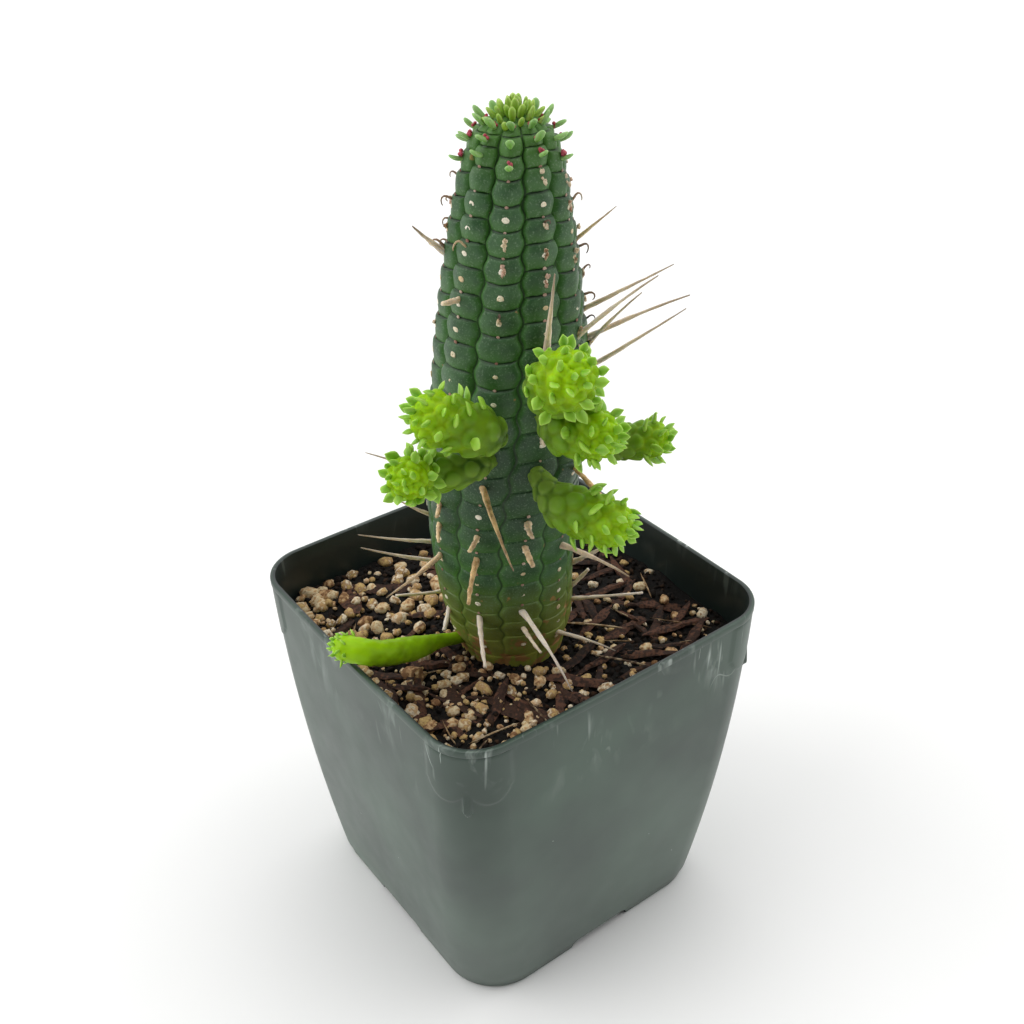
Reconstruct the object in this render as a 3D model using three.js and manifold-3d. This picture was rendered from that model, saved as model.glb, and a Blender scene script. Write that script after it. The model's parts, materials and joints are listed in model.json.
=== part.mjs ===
// A columnar succulent spurge with side shoots, growing in a square nursery pot.
// Millimetres and degrees, +Z up, standing on z = 0. Headings run counter-clockwise from +X,
// seen from above.
import * as THREE from "three";
import { mergeVertices } from "three/addons/utils/BufferGeometryUtils.js";
import Module from "manifold-3d";

const wasm = await Module();
wasm.setup();

// ---- Driving dimensions ----

const CLEARANCE = 0.35; // between neighbouring pieces
const SPARE = 0.15; // more clearance where a round skin is made of flats
const GOLDEN_ANGLE = 137.5; // turn from each leaf of a spiral to the next
const SEEDS = { stem: 7, backStalks: 88, shoots: 31, soil: 21 };
const COLOURS = { pot: 0x4a544e, soil: 0x3a2a20, stem: 0x2f4f2b, shoot: 0x7fae1e };

const POT_WIDTH = 89; // across the lip, side to side
const POT_HEIGHT = 88.8;
const POT_FOOT_WIDTH = 74;
const POT_CORNER_TOP = 11.4; // corner radius at the rim
const POT_CORNER_FOOT = 14;
const POT_BULGE = 1.5; // the walls swell by this at mid height
const POT_SIDE_BOW = 0.5; // the middle of each side stands out at the rim
const POT_WALL = 1.1;
const WALL_LEVELS = [22, 45, 67]; // heights where the swelling walls have a ring of points
const LIP_HEIGHT = 1.8;
const LIP_OUT = 0.4;
const LIP_BEVEL = 0.3;
const FOOT_STEP_HEIGHT = 3.2;
const FOOT_STEP_IN = 0.4;
const FOOT_SKIRT = 2.4; // thickness of the wall that the pot stands on
const FLOOR_UNDERSIDE = 2.5;
const FLOOR_THICKNESS = 1.5;
const NOTCH_WIDTH = 18; // drainage notch in the middle of each side
const NOTCH_ROUND = 2.1; // radius of its ends
const DRAIN_RADIUS = 3.5;
const DRAIN_SPREAD = 20; // hole centres from the pot's middle, both ways
const CORNER_RIB_DROP = 17.5; // stacking rib under the lip, at each corner
const CORNER_RIB_THICKNESS = 1.6;
const CORNER_RIB_REACH = 57.6; // from the pot's axis to the rib's outer edge
const CORNER_RIB_DEPTH = 3.4; // from that edge into the wall, trimmed flush inside

const SOIL_LEVEL = 76.5;
const STONE_COUNT = 34;
const STONE_SIZES = [2.7, 4]; // half lengths, smallest and largest
const GRIT_COUNT = 84;
const GRIT_SIZES = [1.8, 2.7];
const CHIP_COUNT = 20;
const CHIP_LENGTHS = [7, 13];
const CHIP_THICKNESS = 2;
const CHIP_CROWDING = 0.62; // nearest two may lie, as a share of their half lengths added up
const STONE_CROWDING = 0.72;
const STEM_CLEARING = 14.6; // no stone's middle is nearer to the stem's than this

const STEM_FOOT = { x: -1.96, y: -3.9 }; // middle of the stem at soil level
const STEM_ROOT_END = 50.5; // height of the blunt end, deep in the soil
const STEM_TOP = 199.5; // height of the growing point
const LEAN_HEADING = -36.6;
// Height against how far the stem's middle has wandered along the lean heading
const LEAN = [[STEM_ROOT_END, 0], [SOIL_LEVEL, 0], [108, -1.5], [140, 1.2], [165, 1.7], [STEM_TOP, 2.9]];
// Height against radius over the rib crests
const GIRTH = [
  [STEM_ROOT_END, 8.6], [62, 11.2], [76.5, 12.4], [87, 15], [108, 16.4], [138, 17.3],
  [162, 15.1], [182, 12.2], [194, 9.2], [197.8, 5.8], [199, 2.8], [STEM_TOP, 0.4],
];
// Height against depth of the valleys between ribs
const VALLEY = [
  [STEM_ROOT_END, 0], [SOIL_LEVEL, 0.5], [95, 1.6], [125, 2.7], [190, 2.9], [196, 2.2], [STEM_TOP, 0.1],
];
// Tubercle row against height: short tubercles at both ends, long ones at mid stem
const ROW_HEIGHT = [
  [0, SOIL_LEVEL], [4, 96.9], [8, 120.5], [12, 146.9], [16, 168.3], [19, 182.8], [22, 195.3],
  [23, 197.8], [24, 199],
];
const RIB_COUNT = 10;
const RIB_HEADING = -151.3; // the rib that faces the front corner, at soil level
const RIB_TWIST = 0.18; // degrees per millimetre of height
const SPOKES_PER_RIB = 4;
const TUBERCLE_RELIEF = 0.9;
const SCAR_PHASE = 0; // a tubercle stands out most at its scar
const GROOVE_PHASE = 0.35; // and ends at the groove just above it
const VALLEY_ZIGZAG = 2.4; // degrees
const STEM_ROWS = 22;

const FIRST_LEAF_ROW = 20;
const LEAF_LENGTHS = [2, 3.6]; // lowest row, top row
const LEAF_WIDTH = 1.5;
const LEAF_THICKNESS = 0.7;
const LEAF_ROOT = 1; // how far each leaf's root runs back into what it grows from
const ROSETTE_LEAVES = 16;
const ROSETTE_LENGTH = 5.2;
const BUD_RADIUS = 0.75;
const BUD_SHARE = 0.3; // of the eyes on the top rows that carry a bud
const FIRST_BUD_ROW = 20;

const STALK_RADII = [0.62, 0.32]; // at the stem, at the tip
const STALK_ROOT = 1.2; // how far it runs back into the stem
const STRAIGHT_STALK = 8; // shorter ones than this have no bend
const STALK_BEND = 0.035; // sideways at the waist, as a share of the length
// Dried flower stalks: the rib and row each grows from, its length, how far it rises above the
// horizontal, and how far it swings round from straight out
const STALKS = [
  { rib: 2, row: 13.9, length: 24, rise: 43, swing: -8 },
  { rib: 3, row: 13.7, length: 24, rise: 34, swing: -40 },
  { rib: 3, row: 12.5, length: 26, rise: 31, swing: -34 },
  { rib: 3, row: 11.4, length: 26, rise: 39, swing: -30 },
  { rib: 3, row: 12.3, length: 20, rise: 48, swing: -50 },
  { rib: 3, row: 16.6, length: 13, rise: 42, swing: -50 },
  { rib: 8, row: 17.1, length: 10, rise: 43, swing: 32 },
  { rib: 1, row: 13.2, length: 20, rise: 73, swing: -10 },
  { rib: 9, row: 15.2, length: 5, rise: 10, swing: 8 },
  { rib: 1, row: 10.1, length: 8, rise: 66, swing: -24 },
  { rib: 2, row: 9.2, length: 11, rise: -8, swing: -28 },
  { rib: 0, row: 9.1, length: 22, rise: -19, swing: 33 },
  { rib: 9, row: 7.5, length: 5, rise: -5, swing: 48 },
  { rib: 9, row: 6.6, length: 5.5, rise: -12, swing: 54 },
  { rib: 0, row: 7.2, length: 5.5, rise: -3, swing: 1 },
  { rib: 1, row: 7.2, length: 5, rise: -4, swing: -8 },
  { rib: 1, row: 6.2, length: 6, rise: -10, swing: -2 },
  { rib: 0, row: 6.2, length: 13, rise: -12, swing: 12 },
  { rib: 9, row: 5.2, length: 19, rise: -1, swing: 20 },
  { rib: 8, row: 5.2, length: 20, rise: 25, swing: 34 },
  { rib: 8, row: 4.2, length: 20, rise: 28, swing: 30 },
  { rib: 8, row: 6.5, length: 12, rise: 41, swing: 34 },
  { rib: 8, row: 8.4, length: 18, rise: 34, swing: 38 },
  { rib: 8, row: 2.2, length: 13, rise: 17, swing: 37 },
  { rib: 9, row: 2.2, length: 7, rise: -9, swing: 50 },
  { rib: 0, row: 3.2, length: 14, rise: -15, swing: 28 },
  { rib: 1, row: 3.1, length: 25, rise: -10, swing: 10 },
  { rib: 1, row: 2, length: 9, rise: -5, swing: 12 },
  { rib: 2, row: 6.1, length: 19, rise: 1, swing: -6 },
  { rib: 3, row: 3.7, length: 9, rise: 39, swing: -21 },
  { rib: 3, row: 2.4, length: 6, rise: 52, swing: -1 },
  { rib: 3, row: 1.5, length: 18, rise: 18, swing: -15 },
  { rib: 2, row: 1.2, length: 16, rise: 6, swing: 5 },
];
const BACK_STALK_COUNT = 12; // more of them on the ribs that face away
const BACK_RIBS = [5, 6];

const SHOOT_LEAVES = 12;
const SHOOT_LEAF_LENGTH = 3.2;
const SHOOT_SIDES = 10;
const SHOOT_RELIEF = 0.09; // tubercle height as a share of the shoot's radius
const SHOOT_BAND = 3.6; // length of one band of tubercles
// Side shoots: the rib and row each grows from, and the places its middle passes through, the
// last of them the middle of its round tip
const SHOOTS = [
  { name: "shoot_upper_left", rib: 0, row: 11.1, girth: 5.2, neck: 0.42,
    through: [[-19, -20.5, 144.5], [-27.8, -17.8, 149.4]] },
  { name: "shoot_lower_left", rib: 0, row: 10.1, girth: 4.1, neck: 0.45,
    through: [[-19.5, -17, 135], [-29.2, -12.9, 135.6], [-34.6, -16.9, 138.3]] },
  { name: "shoot_upper_right", rib: 1, row: 12, girth: 5.8, neck: 0.36,
    through: [[-7.8, -27, 153], [-9.4, -33.6, 158.1]] },
  { name: "shoot_mid_right", rib: 1, row: 11, girth: 4.9, neck: 0.42,
    through: [[-5.8, -27, 143.5], [-3.6, -35, 145]] },
  { name: "shoot_far_right", rib: 3, row: 9.2, girth: 4, neck: 0.6,
    through: [[18, -17, 128.3], [23.8, -21.7, 129]] },
  { name: "shoot_lower_right", rib: 1, row: 9, girth: 5, neck: 0.42,
    through: [[-6.6, -28, 127.5], [-1.8, -37.4, 125.6]] },
  { name: "shoot_long_left", rib: 9, row: 0.55, girth: 2.9, neck: 0.5,
    through: [[-20.8, -1.7, 82.5], [-27.1, -3.3, 84.9], [-33.1, -4.7, 87.6], [-38.7, -5.8, 90.4],
      [-43.2, -4.9, 92.7], [-45.2, -2.6, 93]] },
];

// The shoot that leans over the rim widens the footprint on one side. The pot's middle stands
// this far from the middle of the whole footprint, which is the origin.
const FOOTPRINT_SHIFT = 2;

// ---- Helpers ----

const radians = (degrees) => THREE.MathUtils.degToRad(degrees);
const outward = (heading) => new THREE.Vector3(Math.cos(radians(heading)), Math.sin(radians(heading)), 0);
const UP = new THREE.Vector3(0, 0, 1);

// A number generator that gives the same run for the same seed
function seeded(seed) {
  let state = seed;
  return () => {
    state = (state + 0x6d2b79f5) | 0;
    let mixed = Math.imul(state ^ (state >>> 15), 1 | state);
    mixed = (mixed + Math.imul(mixed ^ (mixed >>> 7), 61 | mixed)) ^ mixed;
    return ((mixed ^ (mixed >>> 14)) >>> 0) / 4294967296;
  };
}

// Smooth curve through [x, y] knots, read at x
function smooth(knots, x) {
  const last = knots.length - 1;
  const clamped = THREE.MathUtils.clamp(x, knots[0][0], knots[last][0]);
  const above = knots.findIndex(([at]) => at > clamped);
  const i = above < 0 ? last - 1 : Math.max(0, above - 1);
  const [x0, y0] = knots[i];
  const [x1, y1] = knots[i + 1];
  const slope = (a, b) => (knots[b][1] - knots[a][1]) / (knots[b][0] - knots[a][0]);
  const m0 = slope(Math.max(i - 1, 0), i + 1);
  const m1 = slope(i, Math.min(i + 2, last));
  const width = x1 - x0;
  const t = (clamped - x0) / width;
  const bend = (1 - t) * t * ((m0 * width - (y1 - y0)) * (1 - t) - (m1 * width - (y1 - y0)) * t);
  return THREE.MathUtils.lerp(y0, y1, t) + bend;
}

// A closed skin through rings of points that run counter-clockwise, seen from the last ring.
// It ends on the last ring, or on a tip point beyond it.
function loft(rings, tip) {
  const count = rings[0].length;
  const points = rings.flat();
  const last = points.length - count;
  const faces = [];
  for (let start = 0; start < last; start += count) {
    for (let i = 0; i < count; i += 1) {
      const a = start + i;
      const b = start + ((i + 1) % count);
      faces.push(a, b, b + count, a, b + count, a + count);
    }
  }
  for (let i = 1; i + 1 < count; i += 1) {
    faces.push(0, i + 1, i);
    if (!tip) {
      faces.push(last, last + i, last + i + 1);
    }
  }
  if (tip) {
    for (let i = 0; i < count; i += 1) {
      faces.push(last + i, last + ((i + 1) % count), points.length);
    }
    points.push(tip);
  }
  const geometry = new THREE.BufferGeometry().setFromPoints(points);
  geometry.setIndex(faces);
  return geometry;
}

// A closed mesh as a solid that can be joined and cut
function toSolid(geometry) {
  geometry.deleteAttribute("normal");
  geometry.deleteAttribute("uv");
  const merged = mergeVertices(geometry, 1e-5);
  const index = merged.index.array;
  const corners = [];
  for (let i = 0; i < index.length; i += 3) {
    const [a, b, c] = [index[i], index[i + 1], index[i + 2]];
    if (a !== b && b !== c && c !== a) {
      corners.push(a, b, c);
    }
  }
  const vertProperties = Float32Array.from(merged.attributes.position.array);
  const triVerts = Uint32Array.from(corners);
  return new wasm.Manifold(new wasm.Mesh({ numProp: 3, vertProperties, triVerts }));
}

function toGeometry(solid) {
  const { vertProperties, triVerts } = solid.getMesh();
  const geometry = new THREE.BufferGeometry();
  geometry.setAttribute("position", new THREE.BufferAttribute(Float32Array.from(vertProperties), 3));
  geometry.setIndex([...triVerts]);
  return geometry;
}

const join = (solids) => solids.reduce((whole, piece) => whole.add(piece));

// Two directions square to a given one: the second as near as can be to the reference
function sideAndFace(along, reference) {
  const face = reference.clone().addScaledVector(along, -reference.dot(along)).normalize();
  const side = face.clone().cross(along);
  return { side, face };
}

// Points round a middle, square to a direction; reach gives each spoke's length
function crossSection(middle, { side, face }, count, reach) {
  return Array.from({ length: count }, (_, i) => {
    const turn = (2 * Math.PI * i) / count;
    const length = reach(i);
    return middle.clone()
      .addScaledVector(side, length * Math.cos(turn))
      .addScaledVector(face, length * Math.sin(turn));
  });
}

// ---- Pot ----

// Half width and corner radius of the pot's outside, plain wall only
function potOutline(height) {
  const rise = height / POT_HEIGHT;
  const half = THREE.MathUtils.lerp(POT_FOOT_WIDTH / 2, POT_WIDTH / 2 - LIP_OUT, rise);
  const corner = THREE.MathUtils.lerp(POT_CORNER_FOOT, POT_CORNER_TOP, rise);
  return { half: half + POT_BULGE * 4 * rise * (1 - rise), corner, bow: POT_SIDE_BOW * rise };
}

// Ring round a square with rounded corners, a little inside the pot's outline (or outside it)
function potRing(height, inset) {
  const stepsPerCorner = 4;
  const { half, corner, bow } = potOutline(Math.min(height, POT_HEIGHT));
  const radius = corner - inset;
  const points = [];
  for (let quarter = 0; quarter < 4; quarter += 1) {
    const turn = new THREE.Matrix4().makeRotationZ((quarter * Math.PI) / 2);
    const middle = new THREE.Vector3(half - inset + bow, 0, height);
    points.push(middle.applyMatrix4(turn));
    for (let step = 0; step <= stepsPerCorner; step += 1) {
      const angle = (step / stepsPerCorner) * (Math.PI / 2);
      const x = half - corner + radius * Math.cos(angle);
      const y = half - corner + radius * Math.sin(angle);
      points.push(new THREE.Vector3(x, y, height).applyMatrix4(turn));
    }
  }
  return points;
}

function potOutside() {
  const lipStart = POT_HEIGHT - LIP_HEIGHT;
  const levels = [FOOT_STEP_HEIGHT + LIP_BEVEL, ...WALL_LEVELS, lipStart - LIP_BEVEL];
  const walls = levels.map((height) => potRing(height, 0));
  return toSolid(loft([
    potRing(0, FOOT_STEP_IN + LIP_BEVEL),
    potRing(FOOT_STEP_HEIGHT, FOOT_STEP_IN),
    ...walls,
    potRing(lipStart, -LIP_OUT),
    potRing(POT_HEIGHT, -LIP_OUT),
  ]));
}

// Space inside the walls, from one height to another, kept back from them by a margin
function potInside(low, high, margin) {
  const levels = [low, ...WALL_LEVELS, high];
  return toSolid(loft(levels.map((height) => potRing(height, POT_WALL + margin))));
}

// Profile of a drainage notch, seen square on to one side: rounded ends under the floor
function notchOutline() {
  const half = NOTCH_WIDTH / 2;
  const shoulder = FLOOR_UNDERSIDE - NOTCH_ROUND;
  const outline = new THREE.Shape();
  outline.moveTo(-half, -1);
  outline.lineTo(half, -1);
  outline.lineTo(half, shoulder);
  outline.absarc(half - NOTCH_ROUND, shoulder, NOTCH_ROUND, 0, Math.PI / 2, false);
  outline.absarc(-half + NOTCH_ROUND, shoulder, NOTCH_ROUND, Math.PI / 2, Math.PI, false);
  outline.closePath();
  return outline;
}

function notchPair(heading) {
  const geometry = new THREE.ExtrudeGeometry(notchOutline(), {
    depth: POT_WIDTH,
    bevelEnabled: false,
    curveSegments: 3,
  });
  geometry.translate(0, 0, -POT_WIDTH / 2);
  geometry.rotateX(Math.PI / 2);
  geometry.rotateZ(radians(heading));
  return toSolid(geometry);
}

function drainHole(x, y) {
  const geometry = new THREE.CylinderGeometry(DRAIN_RADIUS, DRAIN_RADIUS, 4 * FLOOR_THICKNESS, 10);
  geometry.rotateX(Math.PI / 2);
  geometry.translate(x, y, FLOOR_UNDERSIDE);
  return toSolid(geometry);
}

// Thin upright rib below the lip at one corner: it keeps stacked pots from jamming
function cornerRib(heading) {
  const foot = POT_HEIGHT - CORNER_RIB_DROP;
  const head = POT_HEIGHT - LIP_HEIGHT / 2;
  const inner = CORNER_RIB_REACH - CORNER_RIB_DEPTH;
  const outline = new THREE.Shape();
  outline.moveTo(inner, foot - 0.6);
  outline.lineTo(CORNER_RIB_REACH, foot + 1.4);
  outline.lineTo(CORNER_RIB_REACH + 0.3, head);
  outline.lineTo(inner + 2.2, head);
  outline.closePath();
  const geometry = new THREE.ExtrudeGeometry(outline, {
    depth: CORNER_RIB_THICKNESS,
    bevelEnabled: false,
  });
  geometry.translate(0, 0, -CORNER_RIB_THICKNESS / 2);
  geometry.rotateX(Math.PI / 2);
  geometry.rotateZ(radians(heading));
  return toSolid(geometry);
}

function makePot() {
  const corners = [45, 135, 225, 315];
  const floorTop = FLOOR_UNDERSIDE + FLOOR_THICKNESS;
  const recess = toSolid(loft([-1, FLOOR_UNDERSIDE].map((height) => {
    const ring = potRing(Math.max(height, 0), FOOT_SKIRT);
    return ring.map((point) => point.setZ(height));
  })));
  const drains = corners.map((heading) => {
    const spot = outward(heading).multiplyScalar(DRAIN_SPREAD * Math.SQRT2);
    return drainHole(spot.x, spot.y);
  });
  return join([potOutside(), ...corners.map(cornerRib)])
    .subtract(potInside(floorTop, POT_HEIGHT + 1, 0))
    .subtract(recess)
    .subtract(join([drainHole(0, 0), ...drains]))
    .subtract(join([notchPair(0), notchPair(90)]));
}

// The rim with clearance all round it, for what hangs over it
function rimRoom() {
  const reach = LIP_OUT + CLEARANCE;
  const low = POT_HEIGHT - 6;
  const outside = [low, POT_HEIGHT].map((height) => potRing(height, -reach));
  outside.push(potRing(POT_HEIGHT, -reach).map((point) => point.setZ(POT_HEIGHT + CLEARANCE)));
  return toSolid(loft(outside)).subtract(potInside(low - 1, POT_HEIGHT + 1, CLEARANCE));
}

// ---- Main stem ----

function stemMiddle(height) {
  const drift = outward(LEAN_HEADING).multiplyScalar(smooth(LEAN, height));
  return new THREE.Vector3(STEM_FOOT.x + drift.x, STEM_FOOT.y + drift.y, height);
}

// How far a tubercle stands out along its rib, 0 in the groove and 1 at the scar
function tubercleShape(row) {
  const phase = row - Math.floor(row);
  return smooth([[SCAR_PHASE, 1], [GROOVE_PHASE, 0], [1, 1]], phase);
}

// Ribs next to each other are half a row out of step, so their tubercles interlock
function stagger(ribs, row) {
  const fade = THREE.MathUtils.clamp(Math.min(row / 2, (STEM_ROWS + 1 - row) / 2), 0, 1);
  return 0.25 * (1 - Math.cos(Math.PI * ribs)) * fade;
}

// A point on the stem's skin. Ribs counts round the stem, whole numbers on the crests.
function stemPoint(ribs, row, grow = 0) {
  const height = smooth(ROW_HEIGHT, row + stagger(ribs, row));
  const valley = Math.abs(Math.sin(Math.PI * ribs)) ** 3;
  const bulge = row >= STEM_ROWS + 1 ? 1 : tubercleShape(row);
  const relief = TUBERCLE_RELIEF * (1 - bulge) * (1 - 0.6 * valley);
  const radius = smooth(GIRTH, height) - smooth(VALLEY, height) * valley - relief;
  const push = tubercleShape(row + 0.25) - tubercleShape(row - 0.25);
  const zigzag = VALLEY_ZIGZAG * push * Math.sin(Math.PI * ribs);
  const heading = ribHeading(ribs, height) + zigzag;
  return stemMiddle(height).addScaledVector(outward(heading), radius + grow);
}

function ribHeading(ribs, height) {
  return RIB_HEADING + RIB_TWIST * (height - SOIL_LEVEL) + (360 / RIB_COUNT) * ribs;
}

function stemRing(row, grow) {
  const spokes = RIB_COUNT * SPOKES_PER_RIB;
  return Array.from({ length: spokes }, (_, i) => stemPoint(i / SPOKES_PER_RIB, row, grow));
}

// The round root below the soil
function rootRing(height, count, grow) {
  const radius = smooth(GIRTH, height) + grow;
  return Array.from({ length: count }, (_, i) => {
    const heading = ribHeading((RIB_COUNT * i) / count, SOIL_LEVEL);
    return stemMiddle(height).addScaledVector(outward(heading), radius);
  });
}

function stemColumn(grow) {
  const roots = [STEM_ROOT_END, SOIL_LEVEL - 4];
  const rows = [];
  for (let row = 0; row < STEM_ROWS; row += 1) {
    rows.push(row + SCAR_PHASE, row + GROOVE_PHASE);
  }
  rows.push(STEM_ROWS, STEM_ROWS + 1, STEM_ROWS + 2);
  const spokes = RIB_COUNT * SPOKES_PER_RIB;
  const rings = roots.map((height) => rootRing(height, spokes, grow));
  rings.push(...rows.map((row) => stemRing(row, grow)));
  return toSolid(loft(rings, stemMiddle(STEM_TOP).setZ(STEM_TOP + grow)));
}

// A flat pointed leaf, rooted a little way back along its own direction
function blade(base, along, reference, length, width) {
  const frame = sideAndFace(along, reference);
  const root = base.clone().addScaledVector(along, -LEAF_ROOT);
  const whole = length + LEAF_ROOT;
  const stations = [{ share: 0, wide: 0.6 }, { share: 0.65, wide: 1 }];
  const rings = stations.map(({ share, wide }) => {
    const middle = root.clone().addScaledVector(along, whole * share);
    const reach = (i) => (i % 2 === 0 ? (width / 2) * wide : LEAF_THICKNESS / 2);
    return crossSection(middle, frame, 4, reach);
  });
  return toSolid(loft(rings, root.clone().addScaledVector(along, whole)));
}

function stemLeaves(random) {
  const leaves = [];
  for (let row = FIRST_LEAF_ROW; row <= STEM_ROWS; row += 1) {
    const climb = (row - FIRST_LEAF_ROW) / (STEM_ROWS - FIRST_LEAF_ROW);
    for (let rib = 0; rib < RIB_COUNT; rib += 1) {
      const base = stemPoint(rib, row);
      const out = outward(ribHeading(rib, base.z) + 16 * (random() - 0.5));
      const rise = radians(18 + 26 * climb + 14 * (random() - 0.5));
      const along = out.clone().multiplyScalar(Math.cos(rise)).addScaledVector(UP, Math.sin(rise));
      const length = THREE.MathUtils.lerp(LEAF_LENGTHS[0], LEAF_LENGTHS[1], climb);
      leaves.push(blade(base, along, UP, length, LEAF_WIDTH));
    }
  }
  return leaves;
}

// Young leaves at the growing point, the innermost standing almost upright
function rosette(random) {
  return Array.from({ length: ROSETTE_LEAVES }, (_, i) => {
    const share = i / (ROSETTE_LEAVES - 1);
    const out = outward(i * GOLDEN_ANGLE);
    const base = stemMiddle(STEM_TOP - 0.3 - 2.4 * share).addScaledVector(out, 1 + 4.8 * share);
    const rise = radians(82 - 34 * share + 10 * (random() - 0.5));
    const along = out.clone().multiplyScalar(Math.cos(rise)).addScaledVector(UP, Math.sin(rise));
    return blade(base, along, out.clone().negate(), ROSETTE_LENGTH * (1 - 0.25 * share), LEAF_WIDTH);
  });
}

function buds(random) {
  const made = [];
  for (let row = FIRST_BUD_ROW; row < STEM_ROWS; row += 1) {
    for (let rib = 0; rib < RIB_COUNT; rib += 1) {
      if (random() < BUD_SHARE) {
        const spot = stemPoint(rib, row + 0.18);
        const geometry = new THREE.OctahedronGeometry(BUD_RADIUS, 0);
        geometry.translate(spot.x, spot.y, spot.z);
        made.push(toSolid(geometry));
      }
    }
  }
  return made;
}

// A dried flower stalk: a thin tapered stick, slightly bent if it is long
function stalk({ rib, row, length, rise, swing }, grow = 0) {
  const base = stemPoint(rib, row);
  const out = outward(ribHeading(rib, base.z) + swing).multiplyScalar(Math.cos(radians(rise)));
  const along = out.addScaledVector(UP, Math.sin(radians(rise)));
  const frame = sideAndFace(along, outward(ribHeading(rib, base.z) + 90));
  const root = [-STALK_ROOT, 0, STALK_RADII[0]];
  const waist = [length / 2, STALK_BEND * length, (STALK_RADII[0] + STALK_RADII[1]) / 2];
  const tip = [length + grow, 0, STALK_RADII[1]];
  const stations = length < STRAIGHT_STALK ? [root, tip] : [root, waist, tip];
  const rings = stations.map(([reach, sag, radius]) => {
    const middle = base.clone().addScaledVector(along, reach).addScaledVector(frame.side, sag);
    return crossSection(middle, frame, 3, () => radius + 2 * grow);
  });
  return toSolid(loft(rings));
}

function backStalks() {
  const random = seeded(SEEDS.backStalks);
  return Array.from({ length: BACK_STALK_COUNT }, (_, i) => ({
    rib: BACK_RIBS[i % BACK_RIBS.length],
    row: Math.round(3 + 13 * random()) + 0.15,
    length: 5 + 17 * random() ** 1.5,
    rise: -12 + 50 * random(),
    swing: 50 * (random() - 0.5),
  }));
}

function makeStem() {
  const random = seeded(SEEDS.stem);
  return join([
    stemColumn(0),
    ...stemLeaves(random),
    ...rosette(random),
    ...buds(random),
    ...[...STALKS, ...backStalks()].map((each) => stalk(each)),
  ]);
}

// The room that the dried stalks take up, with clearance round them
function stalkRoom() {
  return join([...STALKS, ...backStalks()].map((each) => stalk(each, CLEARANCE)));
}

// ---- Side shoots ----

function shootCurve({ rib, row, through, girth }) {
  const base = stemPoint(rib, row);
  const out = outward(ribHeading(rib, base.z));
  const points = [base.clone().addScaledVector(out, -2), base];
  points.push(...through.map(([x, y, z]) => new THREE.Vector3(x, y, z)));
  const [before, last] = points.slice(-2);
  const onward = last.clone().sub(before).normalize();
  points.push(last.clone().addScaledVector(onward, girth));
  return new THREE.CatmullRomCurve3(points, false, "centripetal");
}

// Share of the full girth at a share of the way along: a narrow neck and a round tip
function shootProfile(share, neck, domeStart) {
  const swell = THREE.MathUtils.lerp(neck, 1, THREE.MathUtils.smoothstep(share, 0.08, 0.5));
  const dome = Math.max(0, (share - domeStart) / (1 - domeStart));
  return swell * Math.sqrt(1 - dome * dome);
}

function shootBody(curve, girth, neck) {
  const length = curve.getLength();
  const domeStart = 1 - girth / length;
  const bands = Math.max(6, Math.round(length / SHOOT_BAND));
  const shares = Array.from({ length: bands }, (_, i) => (i / bands) * domeStart);
  shares.push(...[0, 0.45, 0.8].map((part) => THREE.MathUtils.lerp(domeStart, 1, part)));
  const rings = shares.map((share, band) => {
    const frame = sideAndFace(curve.getTangentAt(share), UP);
    const radius = girth * shootProfile(share, neck, domeStart);
    const bump = (i) => 1 - SHOOT_RELIEF * ((i + band) % 2);
    return crossSection(curve.getPointAt(share), frame, SHOOT_SIDES, (i) => radius * bump(i));
  });
  return toSolid(loft(rings, curve.getPointAt(1)));
}

function shootLeaves(curve, girth, neck, random) {
  const domeStart = 1 - girth / curve.getLength();
  return Array.from({ length: SHOOT_LEAVES }, (_, i) => {
    const share = THREE.MathUtils.lerp(domeStart - 0.16, 0.985, i / (SHOOT_LEAVES - 1));
    const tangent = curve.getTangentAt(share);
    const frame = sideAndFace(tangent, UP);
    const turn = radians(i * GOLDEN_ANGLE);
    const out = frame.side.clone().multiplyScalar(Math.cos(turn))
      .addScaledVector(frame.face, Math.sin(turn));
    const forward = THREE.MathUtils.smoothstep(share, domeStart - 0.2, 1);
    const base = curve.getPointAt(share)
      .addScaledVector(out, girth * shootProfile(share, neck, domeStart) * 0.92);
    const along = out.multiplyScalar(1 - 0.72 * forward).addScaledVector(tangent, 0.3 + 0.6 * forward);
    const length = SHOOT_LEAF_LENGTH * Math.min(1, girth / 4) * (0.8 + 0.4 * random());
    return blade(base, along.normalize(), tangent, length, LEAF_WIDTH * Math.min(1, girth / 4));
  });
}

// A fatter copy of a shoot's body, to keep its neighbours clear of it
function shootRoom(shoot) {
  return shootBody(shootCurve(shoot), shoot.girth + CLEARANCE + SPARE, shoot.neck * 1.12);
}

// Neighbouring shoots press together without touching, and no leaf grows where there is no room
function makeShoots() {
  const carriers = join([stemColumn(CLEARANCE + SPARE), stalkRoom(), rimRoom()]);
  const rooms = SHOOTS.map(shootRoom);
  const made = [];
  SHOOTS.forEach((shoot, i) => {
    const random = seeded(SEEDS.shoots + i);
    const curve = shootCurve(shoot);
    const { girth, neck } = shoot;
    const takenFromBody = join([carriers, ...rooms.slice(0, i)]);
    const takenFromLeaves = join([takenFromBody, ...rooms.slice(i + 1), ...made]);
    const leaves = shootLeaves(curve, girth, neck, random)
      .filter((leaf) => leaf.intersect(takenFromLeaves).isEmpty());
    made.push(join([shootBody(curve, girth, neck).subtract(takenFromBody), ...leaves]));
  });
  return made;
}

// ---- Soil ----

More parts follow.
